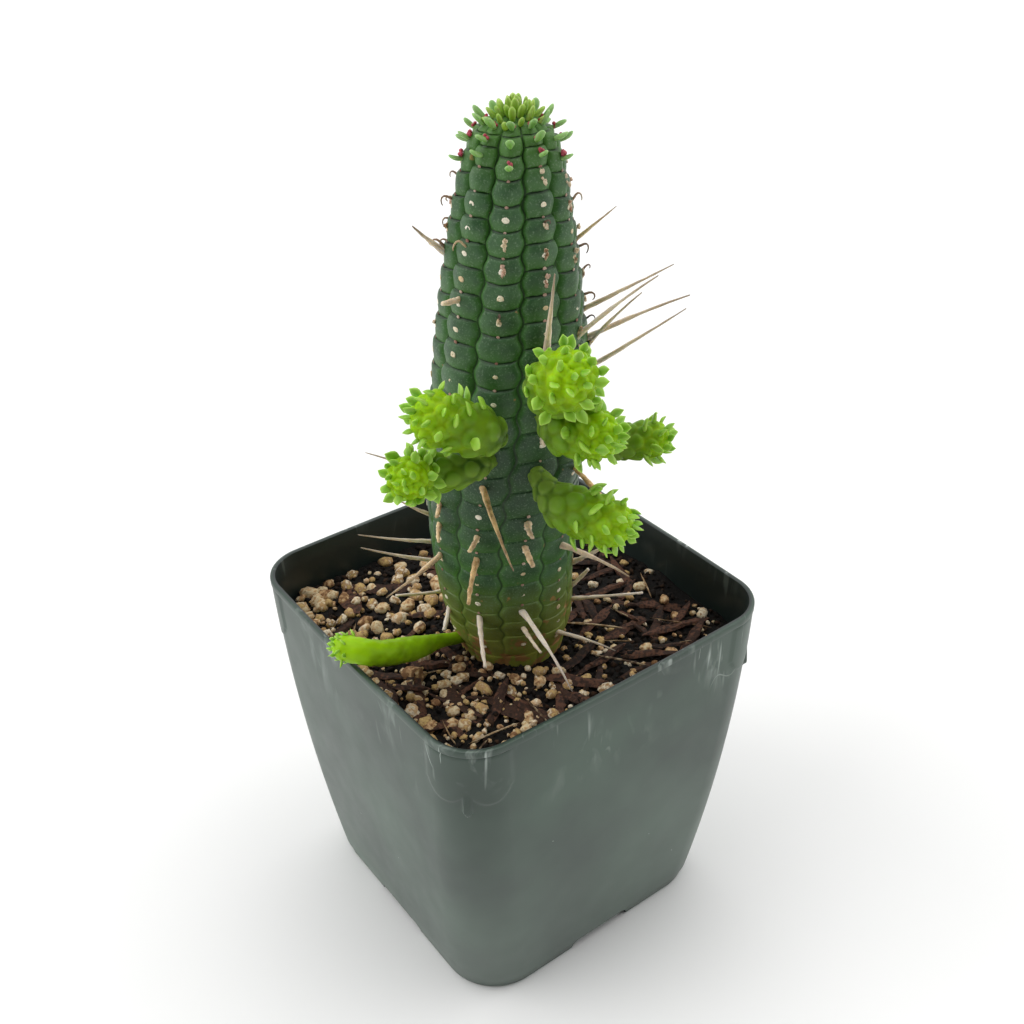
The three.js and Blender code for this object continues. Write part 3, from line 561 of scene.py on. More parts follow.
def moulded_polypropylene():
    """Satin grey-green plastic with mineral bloom under the rim, specks and fine scratches, and painted shade
    inside.
    """
    material, put, shader, place = new_material("moulded_polypropylene")
    height = put("SeparateXYZ", place).outputs["Z"]

    # Broad drifts of tone, some centimetres across
    drift = put("TexNoise", place, Scale=28.0, Detail=3.0)
    body = paint(put("ValToRGB", drift), [(0.35, "303f37"), (0.68, "465a4d")])

    # Painted shade: the inside of the pot is painted a darker plastic colour
    outward = put("VectorMath MULTIPLY", put("VectorMath SUBTRACT", place, tuple(MIDDLE)), (1, 1, 0))
    outward = put("VectorMath DOT_PRODUCT", outward, put("TexCoord").outputs["Normal"])
    outside = put("MapRange", outward, From_Min=-0.01, From_Max=0.01)
    body = put("Mix", data_type="RGBA", Factor=outside, A=colour("262f2d"), B=body)

    # Mineral bloom: soft swirls 3 to 6 mm wide that lean the way water ran off, in the upper third
    leaning = put("Mapping", place, Rotation=(SWIRL_LEAN, -SWIRL_LEAN, 0), Scale=(1, 1, 0.35))
    swirl = put("TexNoise", leaning, Scale=150.0, Detail=3.0, Distortion=1.6)
    swirl = put("MapRange", swirl, From_Min=0.5, From_Max=0.72)
    patch = put("TexNoise", place, Scale=62.0, Detail=2.0)
    patch = put("MapRange", patch, From_Min=0.45, From_Max=0.6)
    high_up = put("MapRange", height, From_Min=0.064, From_Max=0.086)
    bloom = put("Math MULTIPLY", swirl, patch, high_up, 0.55)

    # Scratches: long thin arcs where a broad noise crosses its middle value, and short strokes that lean
    near_rim = put("MapRange", height, From_Min=0.068, From_Max=0.084)
    arc = put("TexNoise", leaning, Scale=75.0, Detail=0.0, Distortion=0.6)
    arc = put("Math ABSOLUTE", put("Math SUBTRACT", arc, 0.5))
    arc = put("MapRange", arc, From_Min=0.006, From_Max=0.001)
    broken = put("TexNoise", place, Scale=150.0, Detail=1.0)
    broken = put("MapRange", broken, From_Min=0.5, From_Max=0.6)
    drawn_out = put("Mapping", place, Rotation=(-STROKE_LEAN, -STROKE_LEAN, 0), Scale=(1, 1, 0.09))
    stroke = put("TexNoise", drawn_out, Scale=620.0, Detail=0.0)
    stroke = put("MapRange", stroke, From_Min=0.7, From_Max=0.78)
    line = put("Math MAXIMUM", put("Math MULTIPLY", arc, broken), stroke)
    line = put("Math MULTIPLY", line, near_rim, patch)

    # Specks of lime, under half a millimetre
    speck = put("TexVoronoi", place, Scale=190.0, Randomness=1.0)
    speck = put("MapRange", speck, From_Min=0.035, From_Max=0.02)
    rare = put("MapRange", put("TexNoise", place, Scale=120.0), From_Min=0.56, From_Max=0.6)
    marks = put("Math MAXIMUM", bloom, line, put("Math MULTIPLY", speck, rare))

    # Splashed dust: a thin even film, thickest at the foot
    splash = put("MapRange", height, From_Min=0.07, From_Max=0.0, To_Max=0.16)
    marks = put("Math ADD", marks, splash, use_clamp=True)
    marks = put("Math MULTIPLY", marks, put("MapRange", outside, To_Min=0.15))
    tone = layered(put, body, [(marks, "bcc6bf")])

    # The marks are matt, the bare plastic satin. The mould's orange peel is half a millimetre wide
    gloss = put("TexNoise", place, Scale=160.0, Detail=5.0)
    gloss = put("MapRange", gloss, To_Min=0.3, To_Max=0.46)
    gloss = put("Math MULTIPLY_ADD", marks, 0.35, gloss)
    peel = put("TexNoise", place, Scale=900.0, Detail=2.0)
    bump = put("Bump", Strength=0.12, Distance=0.05 * MM, Height=peel)
    feed(shader, Base_Color=tone, Roughness=gloss, IOR=1.49, Normal=bump)
    return material


pot_shell.data.materials.clear()
pot_shell.data.materials.append(moulded_polypropylene())
print("pot material:", pot_shell.data.materials[0].name)

# %% [markdown]
# ## Small shapes that are repeated
#
# Leaves, scales, chips, stalks and grains are all spindles: a row of flat round sections along X. Each has
# only a few dozen faces, because a tree places it hundreds of times. Several variants of each keep the
# repeats from showing. They stand in collections of their own, which are emptied at the end.

# %% Spindles and lumps
def spindle(name, collection, sections, sides=8, rough=0.0, seed=0, tip_noted=True):
    """A small solid along X. Each section gives x, half width, half height, and the middle's y and z.

    Its points note how near an edge they are rather than the midline, and how far they are towards the tip.
    """
    middles = [Vector((x, y, z)) for x, _, _, y, z in sections]
    turns = [2 * math.pi * step / sides for step in range(sides)]
    rings = []
    for i, (_, wide, high, _, _) in enumerate(sections):
        onward = middles[min(i + 1, len(middles) - 1)] - middles[max(i - 1, 0)]
        upward = Vector((-onward.z, 0, onward.x)).normalized() * high
        ring = []
        for angle in turns:
            point = middles[i] + Vector((0, wide * math.cos(angle), 0)) + upward * math.sin(angle)
            spot = point * 3.1 + Vector((seed * 7.3, 0, 0))
            shake = Vector([noise.noise(spot + Vector((0, 0, 31.7 * axis))) for axis in range(3)]) * rough
            ring.append(point + shake * Vector((1, wide * 2, high * 2)))
        rings.append(ring)
    columns = {"edge": [math.cos(angle) ** 2 for angle in turns] * len(rings)}
    if tip_noted:
        columns["tipward"] = [i / (len(rings) - 1) for i in range(len(rings)) for _ in turns]
    return new_piece(name, rings, collection, columns)


def lumps(name, collection, subdivisions, rough, placings):
    """Rough round grains, about one unit in radius, as one small shape: a seed and a placing for each."""
    builder = bmesh.new()
    for seed, placing in placings:
        grain = bmesh.ops.create_icosphere(builder, subdivisions=subdivisions, radius=1)
        for vertex in grain["verts"]:
            spot = vertex.co.normalized()
            coarse = spot * 1.3 + Vector((seed * 3.7, seed * 1.9, 0))
            fine = spot * 3 + Vector((seed * 3.7, seed * 1.9, 0))
            vertex.co = spot * (1 + rough * noise.noise(coarse) + 0.35 * rough * noise.noise(fine))
        bmesh.ops.transform(builder, matrix=placing, verts=grain["verts"])
    mesh = bpy.data.meshes.new(name)
    builder.to_mesh(mesh)
    builder.free()
    return put_in(mesh, name, collection)


def new_collection(name):
    """A collection that holds variants of one small shape."""
    collection = bpy.data.collections.new(name)
    scene.collection.children.link(collection)
    return collection


pumice_shapes, crumb_shapes, bark_shapes, fibre_shapes = map(
    new_collection, ("pumice_shapes", "crumb_shapes", "bark_shapes", "fibre_shapes"))
BARK_OUTLINE = [(-1, 0.6), (-0.9, 0.85), (-0.45, 1), (0, 0.9), (0.4, 1), (0.85, 0.85), (1, 0.55)]
for variant in range(6):
    lumps(f"pumice_{variant}", pumice_shapes, 2, 0.42, [(variant + 1, Matrix())])
for variant in range(4):
    lumps(f"crumb_{variant}", crumb_shapes, 1, 0.8, [(variant + 11, Matrix())])
for variant in range(5):
    draw = seeded(40 + variant)
    spindle(f"bark_{variant}", bark_shapes, [
        (x, wide * mix(0.75, 1.1, draw()), mix(0.6, 1, draw()), 0.25 * draw(), 0.3 * draw())
        for x, wide in BARK_OUTLINE], sides=6, rough=0.3, seed=variant)
for variant in range(4):
    draw = seeded(60 + variant)
    bend = mix(-0.16, 0.16, draw()) * 22
    spindle(f"fibre_{variant}", fibre_shapes, [
        (x, 1 - 0.4 * abs(x), 1 - 0.4 * abs(x), bend * (1 - x * x) + draw(), 2.5 * draw() * (1 - x * x))
        for x in np.linspace(-1, 1, 8)], sides=5)

# %% [markdown]
# One stretch of nodes ends most trees: pick a variant for each point, give it a random tint between 0 and 1,
# make the instances real and colour them. The tint stays on the mesh as an attribute, which materials read.

# %% Placing variants
def place_variants(put, points, shapes, seed, material, which=None, tint=None, **feeds):
    """Puts variants of a small shape on points, tints them and makes them real mesh of a material."""
    info = put("CollectionInfo", Collection=shapes, Separate_Children=True, Reset_Children=True)
    which = which or put("RandomValue", data_type="INT", Min=0, Max=len(shapes.objects) - 1, Seed=seed)
    placed = put("InstanceOnPoints", Points=points, Instance=info, Pick_Instance=True, Instance_Index=which,
                 **feeds)
    tint = tint or put("RandomValue", Seed=put("Math ADD", seed, 17))
    tinted = put("StoreNamedAttribute", domain="INSTANCE", Geometry=placed, Name="tint", Value=tint)
    return put("SetMaterial", put("RealizeInstances", tinted), Material=material)


def finished(put, geometry):
    """The tree, with its last node linked to its output."""
    return put("GroupOutput", geometry).id_data


def named_numbers(put, labels):
    """Nodes that read the numbers that a point carries."""
    return [put("InputNamedAttribute", Name=label) for label in labels]


# %% [markdown]
# ## Potting mix
#
# The mix is black peat with bark chips, fibres and grains of pumice, which are cream where they are clean and
# brown where they are stained. The bed is one closed solid that fills the pot. Its top is drawn as rings that
# shrink towards the stem, and a shape tree roughens it with noise on two scales: hollows about 8 mm across
# and crumbs about 2 mm across.

# %% Peat and its relatives
SOIL_LEVEL = 76.5
STEM_FOOT = Vector((-1.96, -3.9, 0))  # middle of the stem at soil level, from the pot's middle


def tinted_material(name, tints, roughness, bump_scale, bump_depth, spread=0.35):
    """A dry rough material whose colour runs along a list of tints, by piece and by a fine mottle."""
    material, put, shader, place, tint = new_material(name, "tint")
    mottle = put("TexNoise", place, Scale=bump_scale * 0.6, Detail=4.0)
    shift = put("MapRange", mottle, From_Min=0.3, From_Max=0.7, To_Min=-spread, To_Max=spread)
    share = put("Math ADD", tint, shift, use_clamp=True)
    codes = tints.split()
    tone = paint(put("ValToRGB", share), [(i / (len(codes) - 1), code) for i, code in enumerate(codes)])
    pits = put("TexNoise", place, Scale=bump_scale, Detail=6.0, Roughness=0.65)
    bump = put("Bump", Strength=0.7, Distance=bump_depth * MM, Height=pits)
    feed(shader, Base_Color=tone, Roughness=roughness, Specular_IOR_Level=0.3, Normal=bump)
    return material


# Pumice is volcanic glass foam: pits a third of a millimetre wide, cream to rusty brown
PUMICE_TINTS = "7c5a3c c29c70 d8c8a4 a8825a c6aa70 94704c e6dac0 c8a67e"
pumice = tinted_material("stained_pumice", PUMICE_TINTS, 0.85, 1500, 0.35, 0.2)
# Composted bark: fibrous, dark brown, a little redder where it is freshly broken
bark = tinted_material("composted_bark", "20140e 40291d 2a1a13 5c3c2c 33221a", 0.8, 1300, 0.3)
# Damp peat: almost black, with a few rusty crumbs
peat = tinted_material("damp_peat", "0a0705 1c120b 100a07 3a2617", 0.9, 1700, 0.4)
# Dry stems and roots in the mix: straw to grey brown
fibre = tinted_material("dry_fibre", "5b4430 9a7c58 b8a384 4a3626", 0.7, 1200, 0.1)
print("soil materials:", [m.name for m in (pumice, bark, peat, fibre)])

# %% The bed
BED_TURNS = [math.radians(angle) for angle in np.linspace(-45, 45, 15)]
BED_SIDES = list(np.linspace(0, 1, 34)[1:-1])
BED_RINGS = 76
BED_INSET = WALL + 0.03  # just clear of the wall's inside


def make_bed():
    """The peat's body, from the pot's floor to the soil level, with a top of shrinking rings."""
    *levels, rim = (pot_ring(level, BED_INSET, BED_TURNS, BED_SIDES)
                    for level in (FLOOR_TOP + 1.2, 30, 60, SOIL_LEVEL - 3, SOIL_LEVEL))
    centre = MIDDLE + (STEM_FOOT + Vector((0, 0, SOIL_LEVEL))) * MM
    top = [[point.lerp(centre, step / BED_RINGS) for point in rim] for step in range(BED_RINGS)]
    bed = new_piece("soil_bed", levels + top)
    bed.data.materials.append(peat)
    return bed


def roughened_tree():
    """Lifts a top surface by coarse and fine noise, measured in metres."""
    put, given = new_tree("roughened_peat", {"Body": "geometry", "Level": 0.0, "Hollows": 0.0, "Crumbs": 0.0})
    place = put("InputPosition")
    top = put("Compare GREATER_THAN", put("SeparateXYZ", place).outputs["Z"], given["Level"])
    coarse = put("Math SUBTRACT", put("TexNoise", place, Scale=120.0, Detail=1.0), 0.5)
    fine = put("Math SUBTRACT", put("TexNoise", place, Scale=520.0, Detail=3.0), 0.5)
    lift = put("Math MULTIPLY_ADD", fine, given["Crumbs"], put("Math MULTIPLY", coarse, given["Hollows"]))
    moved = put("SetPosition", given["Body"], Selection=top, Offset=put("CombineXYZ", Z=lift))
    return finished(put, put("SetMaterial", moved, Material=peat))


plain_bed = make_bed()
soil_bed = run_tree("peat_bed", roughened_tree(), {
    "Level": (SOIL_LEVEL - 1) * MM, "Hollows": 3.2 * MM, "Crumbs": 2.6 * MM}, plain_bed.data)
bpy.data.objects.remove(plain_bed)

# %% [markdown]
# The larger chips and stones lie where the frame has them. The frame scattered them by a seeded rule, so the
# same rule with the same seed gives the same places, turns and sizes here. The photograph shows the largest
# grains on the left and finer ones at the front corner, so each is made a little smaller towards the front.

# %% Scatter rule of the frame
SOIL_SEED = 21
STEM_CLEARING = 14.6
MOST_TRIES = 6000
# How far the wall's inside is along X or Y, and at a round corner the sum of both
WALL_ROOM = pot_half(SOIL_LEVEL) - WALL
CORNER_SUM = 2 * WALL_ROOM - (2 - math.sqrt(2)) * CORNER_AT_RIM
CORNER_MARGIN = 1.41  # what a margin along the corner's diagonal takes from that sum


def scatter(count, sizes, crowding, taken, draw):
    """Spots over the soil, none nearer to another than their sizes allow."""
    reach = WALL_ROOM - 1
    made = []
    tries = 0
    while len(made) < count and tries < MOST_TRIES:
        tries += 1
        size = mix(*sizes, draw())
        x, y = (2 * reach * (draw() - 0.5) for _ in range(2))
        from_stem = math.hypot(x - STEM_FOOT.x, y - STEM_FOOT.y)
        free = all(math.hypot(x - a, y - b) > crowding * (s + size) for a, b, s in taken)
        if from_stem > STEM_CLEARING + size / 2 and free:
            taken.append((x, y, size))
            made.append((x, y, size))
    return made


print("from the soil's middle to the wall:", round(WALL_ROOM, 1), "mm")

# %% [markdown]
# A chip lies nearly flat and a stone is half sunk. Each draws its turns and its widths in the frame's order,
# and what would touch the wall is pulled inwards.

# %% Chips and stones
def lie_chips(spots, draw):
    """Each chip's place, turns and half lengths."""
    rows = []
    for x, y, half in spots:
        wide = half * (0.3 + 0.15 * draw())
        draw(), draw()  # the frame spends two draws here on what this scene doesn't need
        tilt_x, tilt_y, heading = 0.35 * (draw() - 0.5), 0.3 * (draw() - 0.5), 2 * math.pi * draw()
        rows.append((x, y, SOIL_LEVEL + 0.3, tilt_x, tilt_y, heading, half, wide, 0.9))
    return rows


def lie_stones(spots, draw):
    """Each stone's place, turns and half lengths, smaller towards the front corner."""
    rows = []
    for x, y, size in spots:
        draw()
        wide, high = size * (0.62 + 0.25 * draw()), size * (0.55 + 0.2 * draw())
        tilt, heading = 0.5 * (draw() - 0.5), math.pi * draw()
        shrink = mix(0.52, 0.8, ease(y - 0.6 * x, -25, 25))
        rows.append((x, y, SOIL_LEVEL + size * 0.2, 0, tilt, heading,
                     size * shrink, wide * shrink, high * shrink))
    return rows


def keep_inside(rows):
    """Pulls what lies near the wall inwards, so that it stays inside the pot."""
    kept = []
    for x, y, *rest in rows:
        margin = 0.75 * rest[4] + 0.4
        room = WALL_ROOM - margin
        x, y = min(max(x, -room), room), min(max(y, -room), room)
        pull = min(1, (CORNER_SUM - CORNER_MARGIN * margin) / max(abs(x) + abs(y), 1))
        kept.append((x * pull, y * pull, *rest))
    return kept


def columns_of(rows, labels):
    """Rows of numbers as named columns."""
    return dict(zip(labels, map(list, zip(*rows))))


soil_draw = seeded(SOIL_SEED)
taken_spots = []
chip_rows = lie_chips(scatter(20, (3.5, 6.5), 0.62, taken_spots, soil_draw), soil_draw)
stone_spots = scatter(34, (2.7, 4), 0.72, taken_spots, soil_draw)
stone_spots += scatter(84, (1.8, 2.7), 0.72, taken_spots, soil_draw)
stone_rows = lie_stones(stone_spots, soil_draw)
print("chips and stones:", len(chip_rows), len(stone_rows))

# %% Laying them down
LIE_LABELS = ("x", "y", "z", "turn_x", "turn_y", "turn_z", "long", "wide", "high")


def lie_down(name, rows, shapes, material, seed):
    """A piece made of shapes that are placed, turned and sized by the numbers that each point carries."""
    put, given = new_tree(name + "_tree", {"Points": "geometry", "Seed": 1})
    place, turns, sizes = (put("CombineXYZ", *named_numbers(put, labels))
                           for labels in (LIE_LABELS[:3], LIE_LABELS[3:6], LIE_LABELS[6:]))
    metres = put("VectorMath ADD", put("VectorMath SCALE", place, Scale=MM), tuple(MIDDLE))
    points = put("SetPosition", given["Points"], Position=metres)
    tree = finished(put, place_variants(
        put, points, shapes, given["Seed"], material, Rotation=put("EulerToRotation", turns),
        Scale=put("VectorMath SCALE", sizes, Scale=MM)))
    source = new_mesh(name, [(0, 0, 0)] * len(rows), columns=columns_of(rows, LIE_LABELS))
    return run_tree(name, tree, {"Seed": seed}, source)


bark_chips = lie_down("bark_chips", keep_inside(chip_rows), bark_shapes, bark, 3)
lie_down("pumice_stones", keep_inside(stone_rows), pumice_shapes, pumice, 4)

# %% [markdown]
# Everything finer is scattered on the top of the bed by Distribute Points on Faces in its Poisson mode, which
# keeps grains of one kind apart. A weight thins them out: grit thins towards the back right corner, and
# slivers of bark thin towards the left, as in the photograph. The ground under the stem stays free.

# %% Fine scatter
DRIFT_REACH = 0.035  # metres from the middle over which a kind thins out
SCATTER_LENGTHS = ("Spacing", "Smallest", "Largest", "Sink", "Margin")  # given in millimetres


def sprinkle(name, shapes, material, **values):
    """A piece made of shapes scattered over the bed, with a weight that grows along one heading."""
    put, given = new_tree(name + "_tree", {
        "Bed": "geometry", "Level": 0.0, "Spacing": 0.001, "Density": 0.0, "Favoured X": 0.0,
        "Favoured Y": 0.0, "Smallest": 0.0, "Largest": 0.0, "Slender": 1.0, "Flat": 1.0, "Tilt": 0.3,
        "Sink": 0.0, "Margin": 0.0, "Evenness": 0.1, "Seed": 1})
    place = put("InputPosition")
    x, y, z = put("SeparateXYZ", place).outputs

    # Inside the wall by the margin: not too far along X or Y, and not too far into a round corner
    away = put("VectorMath ABSOLUTE", put("VectorMath SUBTRACT", place, tuple(MIDDLE)))
    away_x, away_y, _ = put("SeparateXYZ", away).outputs
    room = put("Math SUBTRACT", WALL_ROOM * MM, given["Margin"])
    corner_room = put("Math MULTIPLY_ADD", given["Margin"], -CORNER_MARGIN, CORNER_SUM * MM)
    top = put("BooleanMath AND",
              put("Compare LESS_THAN", put("Math MAXIMUM", away_x, away_y), room),
              put("Compare LESS_THAN", put("Math ADD", away_x, away_y), corner_room),
              put("Compare GREATER_THAN", z, given["Level"]))
    foot = tuple(MIDDLE + STEM_FOOT * MM)
    from_stem = put("VectorMath DISTANCE", put("CombineXYZ", X=x, Y=y), foot)
    clear = put("MapRange", from_stem, From_Min=(STEM_CLEARING - 3) * MM, From_Max=(STEM_CLEARING - 2) * MM)
    drift = put("Math MULTIPLY_ADD", y, given["Favoured Y"], put("Math MULTIPLY", x, given["Favoured X"]))
    weight = put("MapRange", drift, From_Min=-DRIFT_REACH, From_Max=DRIFT_REACH, To_Min=given["Evenness"])
    spots = put("DistributePointsOnFaces", distribute_method="POISSON", Mesh=given["Bed"], Selection=top,
                Distance_Min=given["Spacing"], Density_Max=given["Density"],
                Density_Factor=put("Math MULTIPLY", weight, clear), Seed=given["Seed"])

    # Size and turn of each
    size = put("RandomValue", Min=given["Smallest"], Max=given["Largest"], Seed=given["Seed"])
    wide = put("Math MULTIPLY", size, given["Slender"])
    sizes = put("CombineXYZ", size, wide, put("Math MULTIPLY", wide, given["Flat"]))
    low = put("Math MULTIPLY", given["Tilt"], -1.0)
    turns = put("RandomValue", data_type="FLOAT_VECTOR", Min=put("CombineXYZ", low, low, 0.0),
                Max=put("CombineXYZ", given["Tilt"], given["Tilt"], 2 * math.pi),
                Seed=put("Math ADD", given["Seed"], 5))
    spots = put("SetPosition", spots, Offset=put("CombineXYZ", Z=given["Sink"]))
    tree = finished(put, place_variants(put, spots, shapes, given["Seed"], material,
                                        Rotation=put("EulerToRotation", turns), Scale=sizes))
    values["level"] = (SOIL_LEVEL - 1.8) * MM
    return run_tree(name, tree, values, soil_bed.data.copy(), SCATTER_LENGTHS)


sprinkle("pumice_gravel", pumice_shapes, pumice, spacing=2.9, density=150000.0, favoured_x=-0.8,
         favoured_y=0.35, smallest=1.1, largest=2.15, slender=0.8, flat=0.8, tilt=0.6, sink=0.7, margin=1.8,
         evenness=-0.25, seed=7)
sprinkle("pumice_grit", pumice_shapes, pumice, spacing=1.35, density=240000.0, favoured_x=-0.85,
         favoured_y=-0.7, smallest=0.35, largest=1.0, slender=0.85, flat=0.9, tilt=0.6, sink=0.45, margin=0.9,
         evenness=-0.12, seed=8)
sprinkle("peat_crumbs", crumb_shapes, peat, spacing=1.25, density=500000.0, favoured_x=0.0, favoured_y=0.0,
         smallest=0.45, largest=1.25, slender=0.8, flat=0.85, tilt=1.0, sink=0.15, margin=1.1, evenness=1.0,
         seed=9)
bark_slivers = sprinkle("bark_slivers", bark_shapes, bark, spacing=4.4, density=60000.0, favoured_x=0.8,
                        favoured_y=-0.35, smallest=2.4, largest=6.6, slender=0.25, flat=0.42, tilt=0.22,
                        sink=0.8, margin=6.2, evenness=0.12, seed=10)
sprinkle("dry_fibres", fibre_shapes, fibre, spacing=8.0, density=20000.0, favoured_x=0.7, favoured_y=-0.6,
         smallest=2.5, largest=6.0, slender=0.045, flat=0.9, tilt=0.1, sink=1.2, margin=6.5, evenness=0.1,
         seed=12)

# Bark breaks into flat faces, so its edges stay sharp
for chips in (bark_chips, bark_slivers):
    chips.data.set_sharp_from_angle(angle=math.radians(34))

# %% [markdown]
# ## The main stem
#
# The stem is a column of ten ribs. Each rib is a row of tubercles, one above the other, which end in a fine
# transverse groove. Neighbouring ribs are half a tubercle out of step, so the furrow between them runs in a
# soft zigzag. That is a rule, so the surface is written once, as a node group that turns a rib number and a
# row number into a place. The body, the scars, the leaves, the buds and the stalks all ask the same group
# where they are.
#
# Its measures come first. Curves against height or row are lists of knots, in millimetres.

# %% Measures of the stem
RIB_COUNT = 10
RIB_HEADING = math.radians(-151.3)  # the rib that faces the front corner, at soil level
RIB_TWIST = math.radians(0.18)  # for each millimetre of height
STEM_ROOT_END = 50.5
STEM_TOP = 199.5
LEAN_HEADING = math.radians(-36.6)
LEANING = (math.cos(LEAN_HEADING), math.sin(LEAN_HEADING), 0)
FIRST_ROW = -1
LAST_ROW = 24
TUBERCLE_RELIEF = 0.95
FURROW_SWING = math.radians(1.7)
GROOVE_PHASE = 0.45  # of a row above a scar
FURROW_SHARPNESS = 46.0
RIB_ROUNDNESS = 0.65  # how far a rib falls off beside its crest, as a share of the furrow
STEP_SHARPNESS = 0.15  # of the change from one rib's rows to the next, across a furrow
SHADE_LINE_SHARPNESS = 240.0  # of the painted shade line in the bottom of a furrow
EDGE_SHARPNESS = 26.0  # of the fresh green band on both sides of a furrow
SHADE_LINE_HALF = 0.035  # of a row, half the painted shade line in a groove
# Height against how far the stem's middle has wandered along the lean heading
LEAN = [(STEM_ROOT_END, 0), (SOIL_LEVEL, 0), (108, -1.5), (140, 1.2), (165, 1.7), (STEM_TOP, 2.9)]
# Height against radius over the rib crests
GIRTH = [(STEM_ROOT_END, 8.6), (62, 11.2), (76.5, 12.4), (87, 15), (108, 16.4), (138, 17.3), (162, 15.1),
         (182, 12.2), (194, 9.2), (197.8, 5.8), (199, 2.8), (STEM_TOP, 0.4)]
# Height against depth of the furrows between ribs
FURROW = [(STEM_ROOT_END, 0), (SOIL_LEVEL, 0.15), (95, 0.35), (125, 0.7), (150, 0.95), (190, 1.15),
          (196, 0.9), (STEM_TOP, 0.1)]
# Row against height
ROW_HEIGHT = [(FIRST_ROW, STEM_ROOT_END), (0, SOIL_LEVEL), (4, 96.9), (8, 120.5), (12, 146.9), (16, 168.3),
              (19, 182.8), (22, 195.3), (23, 197.8), (LAST_ROW, 199)]
# Row against how far neighbouring ribs are out of step
STAGGER = [(FIRST_ROW, 0), (0, 0), (2, 0.25), (21, 0.25), (23, 0), (LAST_ROW, 0)]
# Row against how bold its tubercles are
BOLDNESS = [(FIRST_ROW, 0), (1, 0.25), (6, 0.3), (9, 0.36), (11, 0.6), (13, 0.95), (22.3, 1), (LAST_ROW, 0)]
# Phase of a row against how full the tubercle is: fullest at its upper edge, nothing in the groove above it
FULLNESS = [(0, 0.88), (0.26, 1), (0.38, 0.97), (0.43, 0.72), (GROOVE_PHASE, 0), (0.472, 0.26), (0.53, 0.42),
            (0.75, 0.68), (1, 0.88)]
print("the stem stands out of the soil by", STEM_TOP - SOIL_LEVEL, "mm")

# %% [markdown]
# The rule reads each list of knots as a smooth Float Curve node, and works in four steps: height, radius,
# heading and place. Beside the place it gives what the stem's material needs to draw the lines of painted
# shade and the tints that follow the tubercles.

# %% Rule of the stem
def profile(put, knots, share):
    """Reads a smooth curve through knots at a share of the way from the first to the last."""
    places, values = zip(*knots)
    low, high = min(values), max(values)
    curve = put("FloatCurve", Value=share)
    points = curve.mapping.curves[0].points
    reach = places[-1] - places[0]
    spots = [((place - places[0]) / reach, (value - low) / (high - low)) for place, value in knots]
    points[0].location, points[-1].location = spots[0], spots[-1]
    for spot in spots[1:-1]:
        points.new(*spot)
    curve.mapping.update()
    return put("MapRange", clamp=False, Value=curve, To_Min=low, To_Max=high)


